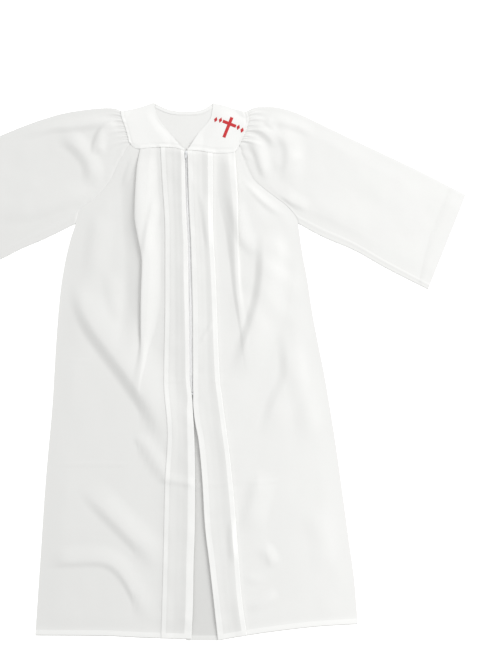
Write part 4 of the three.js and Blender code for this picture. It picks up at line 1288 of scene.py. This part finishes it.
# ------------------------------------------------------------------ sleeves
@dataclass
class SleeveSeam:
    """The line that a sleeve is sewn to: down the yoke's side, then down the armhole."""

    side: Side

    def upper(self) -> Array:
        """Give the part under the yoke's lap."""
        side = self.side
        yoke = [(x - side.sign * YOKE_LAP, y) for x, y in side.yoke_outer[1:-1]]
        end = side.armhole.rows[-1]
        return spline((side.sleeve_top[0], *yoke, (end[1], end[0])), 12)

    def lower(self) -> Array:
        """Give the armhole part."""
        y = np.linspace(YOKE_SEAM_Y, UNDERARM_Y + 2.0, 90)
        return np.stack([self.side.armhole.read(y), y], 1)

    def whole(self) -> Array:
        """Give both parts."""
        return np.vstack([self.upper(), self.lower()[1:]])


@dataclass
class Sleeve:
    """One wide sleeve, flattened, with its gathered head."""

    side: Side
    rows: int = 110
    upper_columns: int = 170
    under_columns: int = 40
    gathered_share: float = 0.55
    edge_fade: float = 0.2
    seam_fade: float = 0.1
    length: float = 420.0
    cuff_hem: float = 30.0
    seam_drop: float = 0.8
    underarm_crease: float = 0.6
    upper_turn: float = 0.7
    lower_turn: float = 2.0

    @property
    def hem_share(self) -> float:
        """Give the share of the sleeve's length at which the cuff's hem starts."""
        return 1 - self.cuff_hem / self.length

    def plan(self, u: Array, v: Array) -> Array:
        """Give plan points of the sleeve.

        Args:
            u: Shares along the sleeve from seam to cuff, one a row.
            v: Shares across it from its upper to its lower edge, one a column.

        Returns:
            Array of rows, columns and x, y.
        """
        seam = SleeveSeam(self.side)
        upper, lower_seam = evenly(seam.upper(), 80), evenly(seam.lower(), 80)
        start = np.where((v < self.gathered_share)[:, None], along(upper, v / self.gathered_share),
                         along(lower_seam, (v - self.gathered_share) / (1 - self.gathered_share)))
        top = evenly(spline(self.side.sleeve_top, 12), 160)
        low = evenly(spline(self.side.sleeve_lower, 12), 160)
        cuff = blend(top[-1][None], low[-1][None], v[:, None])
        ug, vg = u[:, None, None], v[None, :, None]
        straight = start[None] * (1 - ug) + cuff[None] * ug
        bow_top = along(top, u) - blend(top[0][None], top[-1][None], u[:, None])
        bow_low = along(low, u) - blend(low[0][None], low[-1][None], u[:, None])
        return straight + bow_top[:, None] * (1 - vg) + bow_low[:, None] * vg

    def gather_rise(self, u: Array, v: Array) -> Array:
        """Give the height of the gathers at shares along and across the sleeve."""
        total = np.zeros(np.broadcast(u, v).shape)
        for gather in self.side.gathers:
            centre = gather.start + gather.drift * u / gather.length
            width = gather.width * (0.9 + 1.6 * u / gather.length)
            across = smooth(1 - np.abs(v - centre) / width)
            total += gather.height * across * blend(0.6, 1, smooth(u / 0.04)) * smooth(1 - u / gather.length)
        return total

    def build(self) -> bpy.types.Object:
        """Make the sleeve as one flattened tube, open at both ends."""
        side = self.side
        hem_share = self.hem_share
        u = np.concatenate([np.linspace(0, 1, self.rows - 2) ** 1.25 * (hem_share - 0.002),
                            [hem_share, hem_share + 0.03, 1.0]])
        v = np.linspace(0, 1, self.upper_columns)
        plan = self.plan(u, v)
        ug, vg = u[:, None], v[None, :]
        x, y = plan[..., 0], plan[..., 1]
        edge = np.minimum(vg, 1 - vg)
        free = smooth(edge / self.edge_fade) * smooth(ug / self.seam_fade)
        broad = uneven(0.9, side.seed + 4, 80, 70, x, y)
        fine = uneven(0.3, side.seed + 5, 26, 30, x, y)
        seam_pull = uneven(0.5, side.seed + 6, 14, 14, x, y) * np.exp(-ug / 0.04) * smooth(ug / 0.01)
        roll = 0.4 * smooth(edge / 0.03) * np.exp(-edge / 0.1)
        hem_strip = (ug >= hem_share).astype(float) * np.ones_like(vg)
        z = FRONT_LEVEL + self.gather_rise(ug, vg) * smooth(edge / 0.02)
        z += folds_rise(side.sleeve_folds, x, y) * free + (broad + fine) * free + seam_pull + roll
        z += 0.25 * hem_strip
        z -= self.seam_drop * (1 - smooth(ug / 0.02)) * smooth((vg - self.gathered_share) / 0.03)
        z += self.underarm_crease * smooth(1 - np.abs(1 - vg - 0.035) / 0.016) * smooth(ug / 0.03)
        under = self.plan(u, np.linspace(1, 0, self.under_columns))
        points = [np.dstack([plan, z]), np.dstack([under, np.full(under.shape[:2], FLOOR_LEVEL - 0.1)])]
        across = plan[:, -1] - plan[:, 0]
        across /= np.linalg.norm(across, axis=1)[:, None]
        turns = []
        for way, first, second in ((self.lower_turn, points[0][:, -1], points[1][:, 0]),
                                   (-self.upper_turn, points[1][:, -1], points[0][:, 0])):
            middle = (first + second) / 2
            middle[:, :2] += way * across
            turns.append(middle[:, None, :])
        ring = np.concatenate([points[0], turns[0], points[1], turns[1]], 1)
        # the side's painted light is added to the layers value here
        layers = np.full(ring.shape[:2], DOUBLE + side.tone)
        sheet = ClothSheet(f"sleeve_{side.name}_cloth", ring, layers, 0.6, ring=True)
        return adopt(sheet.build(), "robe_cloth", f"sleeve_{side.name}")


# ------------------------------------------------------------------ what repeats: stitches and zip teeth
@dataclass
class RepeatTree:
    """A Geometry Nodes tree that sets small parts along lines."""

    name: str
    material: bpy.types.Material
    size: tuple[float, float, float]
    pitch: float
    side_step: float = 0.0

    def build(self) -> bpy.types.NodeTree:
        """Make the tree: lines to a curve, evenly spaced points, one small part on each."""
        tree = bpy.data.node_groups.new(self.name, "GeometryNodeTree")
        ports = tree.interface
        ports.new_socket("Geometry", in_out="INPUT", socket_type="NodeSocketGeometry")
        for label, value in (("Pitch", self.pitch), ("Side Step", self.side_step)):
            ports.new_socket(label, in_out="INPUT", socket_type="NodeSocketFloat").default_value = value
        ports.new_socket("Size", in_out="INPUT", socket_type="NodeSocketVector").default_value = self.size
        ports.new_socket("Geometry", in_out="OUTPUT", socket_type="NodeSocketGeometry")
        make = tree.nodes.new
        entry, leave = make("NodeGroupInput"), make("NodeGroupOutput")
        to_curve, sample = make("GeometryNodeMeshToCurve"), make("GeometryNodeResampleCurve")
        sample.mode = "LENGTH"
        part, tangent = make("GeometryNodeMeshUVSphere"), make("GeometryNodeInputTangent")
        part.inputs["Segments"].default_value = 6
        part.inputs["Rings"].default_value = 4
        part.inputs["Radius"].default_value = 0.5
        align, place = make("FunctionNodeAlignRotationToVector"), make("GeometryNodeInstanceOnPoints")
        align.axis = "X"
        shift = make("GeometryNodeSetPosition")
        cross, scale = make("ShaderNodeVectorMath"), make("ShaderNodeVectorMath")
        cross.operation = "CROSS_PRODUCT"
        cross.inputs[1].default_value = (0.0, 0.0, 1.0)
        scale.operation = "SCALE"
        real, paint = make("GeometryNodeRealizeInstances"), make("GeometryNodeSetMaterial")
        paint.inputs["Material"].default_value = self.material
        link = tree.links.new
        link(entry.outputs["Geometry"], to_curve.inputs[0])
        link(to_curve.outputs[0], sample.inputs["Curve"])
        link(entry.outputs["Pitch"], sample.inputs["Length"])
        link(tangent.outputs[0], align.inputs["Vector"])
        link(tangent.outputs[0], cross.inputs[0])
        link(cross.outputs[0], scale.inputs[0])
        link(entry.outputs["Side Step"], scale.inputs["Scale"])
        link(sample.outputs[0], shift.inputs["Geometry"])
        link(scale.outputs[0], shift.inputs["Offset"])
        link(shift.outputs[0], place.inputs["Points"])
        link(part.outputs[0], place.inputs["Instance"])
        link(align.outputs[0], place.inputs["Rotation"])
        link(entry.outputs["Size"], place.inputs["Scale"])
        link(place.outputs[0], real.inputs[0])
        link(real.outputs[0], paint.inputs["Geometry"])
        link(paint.outputs[0], leave.inputs[0])
        return tree

    def along_lines(self, name: str, lines: Sequence[Array], **inputs: float) -> bpy.types.Object:
        """Set the parts along lines.

        Args:
            name: The new piece's name.
            lines: Arrays of x, y, z in metres.
            inputs: Values for the tree's inputs, by label with _ for spaces.

        Returns:
            A plain mesh object.
        """
        vertices, edges = [], []
        for line in lines:
            start = len(vertices)
            vertices += line.tolist()
            edges += [(start + k, start + k + 1) for k in range(len(line) - 1)]
        mesh = bpy.data.meshes.new(name)
        mesh.from_pydata(vertices, edges, [])
        guide = link_object(name + "_guide", mesh)
        tree = bpy.data.node_groups.get(self.name) or self.build()
        modifier = guide.modifiers.new("parts", "NODES")
        modifier.node_group = tree
        ids = {item.name: item.identifier for item in tree.interface.items_tree if item.in_out == "INPUT"}
        for label, value in inputs.items():
            modifier[ids[label.replace("_", " ")]] = value
        made = bpy.data.meshes.new_from_object(guide.evaluated_get(bpy.context.evaluated_depsgraph_get()))
        guide.modifiers.remove(modifier)
        bpy.data.objects.remove(guide)
        made.name = name
        made.polygons.foreach_set("use_smooth", np.ones(len(made.polygons), dtype=bool))
        return link_object(name, made)


@dataclass
class Stitching:
    """Lines of machine stitches on hems, front edges and the neck facing."""

    pitch: float = 0.0032
    size: tuple[float, float, float] = (0.0024, 0.00045, 0.00035)
    lift: float = 0.02
    hem_inset: float = 1.6
    turned_inset: float = 0.8
    tuck_inset: float = 11.2
    neck_insets: tuple[float, float] = (1.6, 1.4)

    def tree(self) -> RepeatTree:
        """Give the stitch tree."""
        return RepeatTree("stitch_line", Finish.THREAD.material(), self.size, self.pitch)

    def piece(self, name: str, lines: Sequence[Array]) -> bpy.types.Object:
        """Sew lines as one piece."""
        return adopt(self.tree().along_lines(name, [line for line in lines if len(line) > 1]), "robe_cloth")

    def front(self, side: Side, cloth: bpy.types.Object) -> bpy.types.Object:
        """Sew one front's hem, turned edge and tuck."""
        ground = Ground([cloth])
        y = np.linspace(YOKE_SEAM_Y - 16, HEM_Y + 4, 300)
        edge = side.front_edge.read(y) + side.sign * (side.turned.read(y) - self.turned_inset)
        tuck = side.tuck_edge.read(y) - side.sign * self.tuck_inset
        start, end = side.front_edge.read(HEM_Y), side.side_seam.read(HEM_Y)
        x = np.linspace(start + side.sign * 4, end - side.sign * 4, 120)
        hem = side.hem.read(x) + HEM_DEPTH - self.hem_inset
        lines = [ground.line(np.stack(pair, 1), self.lift) for pair in ((edge, y), (tuck, y), (x, hem))]
        return self.piece(f"stitches_front_{side.name}", lines)

    def neck(self, cloth: bpy.types.Object, width: float) -> bpy.types.Object:
        """Sew the facing strip along the back neck."""
        ground = Ground([cloth])
        curve = evenly(spline(BACK_NECK, 12), 60)[4:-4]
        outer, inner = self.neck_insets
        lines = [ground.line(curve + rightward(curve) * reach, self.lift) for reach in (outer, width - inner)]
        return self.piece("stitches_neck", lines)

    def cuff(self, sleeve: Sleeve, cloth: bpy.types.Object) -> bpy.types.Object:
        """Sew the hem of one sleeve."""
        ground = Ground([cloth])
        plan = sleeve.plan(np.array([sleeve.hem_share + 0.004]), np.linspace(0.02, 0.98, 80))[0]
        return self.piece(f"stitches_cuff_{sleeve.side.name}", [ground.line(plan, self.lift)])


@dataclass
class Zip:
    """The front zip: coil teeth, tapes, slider and pull tab."""

    tooth: tuple[float, float, float] = (0.0011, 0.0021, 0.0015)
    pitch: float = 0.0016
    row_offset: float = 0.0009
    coil_level: float = LAYER + 1.3
    cord: tuple[float, float] = (2.7, 0.85)
    cord_sides: int = 8

    def middle(self, y: Array) -> Array:
        """Give x of the zip's middle line."""
        return (RIGHT.front_edge.read(y) + LEFT.front_edge.read(y)) / 2

    def build(self) -> None:
        """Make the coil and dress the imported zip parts."""
        material = Finish.COIL.material()
        tree = RepeatTree("zip_teeth", material, self.tooth, self.pitch)
        y = np.linspace(ZIP_TOP_Y - 1, ZIP_END_Y + 1, 200)
        line = np.stack([self.middle(y), y, np.full_like(y, self.coil_level)], 1) * MM
        rows = []
        for number, step in enumerate((-self.row_offset, self.row_offset)):
            begin = line + np.array([0.0, -number * self.pitch / 2, 0.0])
            rows.append(tree.along_lines(f"coil_row_{number}", [begin], Side_Step=step))
        core = self.core(y)
        joined = join("zip_teeth_cloth_coil", [*rows, core], material)
        adopt(joined, "zip_coil", "zip_chain")
        dress("zip_tape_right", Finish.TAPE)
        dress("zip_tape_left", Finish.TAPE)
        for node in ("zip_stop", "zip_slider", "zip_pull_tab"):
            dress(node, Finish.HARDWARE)

    def core(self, y: Array) -> bpy.types.Object:
        """Make the cord under the coil as a strip with flat sides."""
        sides = self.cord_sides
        angle = np.linspace(0, 2 * math.pi, sides + 1)[:-1]
        x = self.middle(y)[:, None] + self.cord[0] * np.cos(angle)[None]
        z = LAYER + self.cord[1] * (1 + np.sin(angle))[None] + np.zeros_like(x)
        points = np.stack([x, np.repeat(y[:, None], sides, 1), z], -1).reshape(-1, 3) * MM
        faces = []
        for row in range(len(y) - 1):
            for k in range(sides):
                a, b = row * sides + k, row * sides + (k + 1) % sides
                faces.append((a, b, b + sides, a + sides))
        last = (len(y) - 1) * sides
        faces += [tuple(range(sides - 1, -1, -1)), tuple(range(last, last + sides))]
        mesh = bpy.data.meshes.new("coil_core")
        mesh.from_pydata(points.tolist(), [], faces)
        return link_object("coil_core", mesh)


def join(name: str, parts: Sequence[bpy.types.Object], material: bpy.types.Material) -> bpy.types.Object:
    """Join plain meshes into one object.

    Args:
        name: The new object's name.
        parts: Objects at the origin; they are removed.
        material: The one material of the result.

    Returns:
        The joined object.
    """
    vertices, faces = [], []
    for part in parts:
        start = len(vertices)
        vertices += [tuple(v.co) for v in part.data.vertices]
        faces += [tuple(start + index for index in polygon.vertices) for polygon in part.data.polygons]
        bpy.data.objects.remove(part)
    return smooth_piece(name, vertices, faces, material)


def dress(node: str, finish: Finish) -> None:
    """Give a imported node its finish.

    Args:
        node: The node's name.
        finish: The finish for all of its material slots.
    """
    piece = frame["nodes"][node]
    for place in piece.material_slots:
        place.material = finish.material()
    log.info("%s dressed as %s", node, finish.name)


# ------------------------------------------------------------------ motif on the wearer's left yoke
@dataclass
class Motif:
    """A plain cross with a row of lozenges on each side, printed flat on the yoke."""

    centre: tuple[float, float] = (103.0, 586.0)
    lean: float = -22.0
    cross_height: float = 52.0
    cross_width: float = 34.0
    bar: float = 7.6
    lozenges: int = 2
    lozenge: tuple[float, float] = (4.2, 7.0)
    lozenge_gap: float = 11.0
    lozenge_start: float = 6.0
    lozenge_drop: float = 3.0
    arm_share: float = 0.32
    step: float = 1.0
    lift: float = 0.12
    film: float = 0.1

    def patches(self) -> list[Array]:
        """Give each shape as a grid of plan points round the motif's centre."""
        def bar(width: float, height: float, x: float, y: float) -> Array:
            gx, gy = (np.linspace(-s / 2, s / 2, max(3, int(s / self.step))) for s in (width, height))
            px, py = np.meshgrid(gx + x, gy + y)
            return np.stack([px, py], -1)

        def lozenge(x: float, y: float) -> Array:
            a, b = np.meshgrid(np.linspace(-1, 1, 9), np.linspace(-1, 1, 9))
            px = (a - b) / 2 * self.lozenge[0]
            py = (a + b) / 2 * self.lozenge[1]
            return np.stack([px + x, py + y], -1)

        top = self.cross_height / 2
        arm_y = top - self.cross_height * self.arm_share
        side = (self.cross_width - self.bar) / 2
        shapes = [bar(self.bar, self.cross_height, 0, 0)]
        for way in (-1, 1):
            shapes.append(bar(side, self.bar, way * (self.bar + side) / 2, arm_y))
            for number in range(self.lozenges):
                reach = self.cross_width / 2 + self.lozenge_start + number * self.lozenge_gap
                shapes.append(lozenge(way * reach, arm_y - self.lozenge_drop * number))
        return shapes

    def build(self, yoke: bpy.types.Object) -> bpy.types.Object:
        """Lay the motif on the yoke.

        Args:
            yoke: The finished yoke that carries it.

        Returns:
            The printed piece.
        """
        ground = Ground([yoke])
        turn = math.radians(self.lean)
        spin = np.array([[math.cos(turn), math.sin(turn)], [-math.sin(turn), math.cos(turn)]])
        vertices, faces = [], []
        for patch in self.patches():
            rows, columns, _ = patch.shape
            start = len(vertices)
            plan = patch.reshape(-1, 2) @ spin + self.centre
            tops = ground.tops(plan)
            height = np.where(np.isnan(tops), YOKE_LEVEL, tops) + self.lift
            vertices += (np.column_stack([plan, height]) * MM).tolist()
            for row in range(rows - 1):
                for column in range(columns - 1):
                    a = start + row * columns + column
                    faces.append((a, a + 1, a + columns + 1, a + columns))
        made = smooth_piece("yoke_motif", vertices, faces, Finish.PRINT.material())
        body = made.modifiers.new("film", "SOLIDIFY")
        body.thickness = self.film * MM
        body.offset = 0.0
        return adopt(made, "motif_print")


# ------------------------------------------------------------------ studio
@dataclass(frozen=True)
class Lamp:
    """One soft square light.

    Attributes:
        name: The light's name.
        place: Where it hangs, in metres.
        aim: What it points at, in metres.
        size: Its side, in metres.
        power: Its power in watts.
    """

    name: str
    place: tuple[float, float, float]
    aim: tuple[float, float, float]
    size: float
    power: float

    def build(self) -> None:
        """Hang the light."""
        data = bpy.data.lights.new(self.name, "AREA")
        data.size = self.size
        data.energy = self.power
        made = link_object(self.name, data)
        made.location = self.place
        turn = (Vector(self.aim) - Vector(self.place)).to_track_quat("-Z", "Y")
        made.rotation_euler = turn.to_euler()
        made.visible_camera = False


@dataclass
class Studio:
    """Floor, soft light and the camera straight above."""

    image: tuple[int, int] = (500, 667)
    scale: float = 2.4
    origin_pixel: tuple[float, float] = (185.0, 371.75)
    camera_height: float = 4.0
    floor_reach: float = 6.0
    floor_level: float = -0.0003
    sky: float = 0.8
    lamps: tuple[Lamp, ...] = (
        Lamp("key", (3.0, 3.0, 2.4), (0.1, 0.0, 0.0), 2.0, 107.0),
        Lamp("side", (1.15, -0.6, 0.8), (0.4, -0.4, 0.0), 0.8, 2.5),
    )

    def camera(self) -> None:
        """Set the camera straight above, framed at the scale of 2.4 mm to a pixel."""
        data = bpy.data.cameras.new("camera")
        data.sensor_fit = "AUTO"
        data.sensor_width = 36.0
        view_height = self.image[1] * self.scale * MM
        data.lens = data.sensor_width * self.camera_height / view_height
        data.clip_end = 50.0
        made = link_object("camera", data)
        x = (self.image[0] / 2 - self.origin_pixel[0]) * self.scale * MM
        y = (self.origin_pixel[1] - self.image[1] / 2) * self.scale * MM
        made.location = (x, y, self.camera_height)
        bpy.context.scene.camera = made

    def floor(self) -> None:
        """Lay the floor just under the robe."""
        reach = self.floor_reach
        corners = [(-reach, -reach), (reach, -reach), (reach, reach), (-reach, reach)]
        mesh = bpy.data.meshes.new("floor")
        mesh.from_pydata([(x, y, self.floor_level) for x, y in corners], [], [(0, 1, 2, 3)])
        mesh.materials.append(Finish.FLOOR.material())
        link_object("floor", mesh)

    def build(self) -> None:
        """Make the floor, the lights, the world and the camera."""
        self.floor()
        for lamp in self.lamps:
            lamp.build()
        world = bpy.data.worlds.new("studio")
        world.use_nodes = True
        background = world.node_tree.nodes["Background"]
        background.inputs["Color"].default_value = (1.0, 1.0, 1.0, 1.0)
        background.inputs["Strength"].default_value = self.sky
        bpy.context.scene.world = world
        bpy.context.scene.view_settings.view_transform = "Standard"
        self.camera()


def main() -> None:
    """Build the robe's pieces in the order that they lie, then the studio."""
    logging.basicConfig(level=logging.INFO, format="%(message)s")
    stitching = Stitching()
    back = Back()
    panel = back.panel()
    BACK_CUT.declare(panel)
    back_yoke = back.yoke()
    BACK_YOKE_CUT.declare(back_yoke)
    facing = back.facing()
    FACING_CUT.declare(facing, [back_yoke], [stitching.neck(facing, back.facing_width)])
    for side in (RIGHT, LEFT):
        front = FrontPanel(side).build()
        side.front_cut.declare(front, [panel, f"zip_tape_{side.name}"], [stitching.front(side, front)])
        sleeve = Sleeve(side)
        tube = sleeve.build()
        side.sleeve_cut.declare(tube, (), [stitching.cuff(sleeve, tube)])
        yoke = FrontYoke(side).build(Ground([front, tube, back_yoke]))
        printed = [Motif().build(yoke)] if side is LEFT else []
        side.yoke_cut.declare(yoke, [front, tube, back_yoke], printed)
    Zip().build()
    Studio().build()
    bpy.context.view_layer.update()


if __name__ == "__main__":
    main()
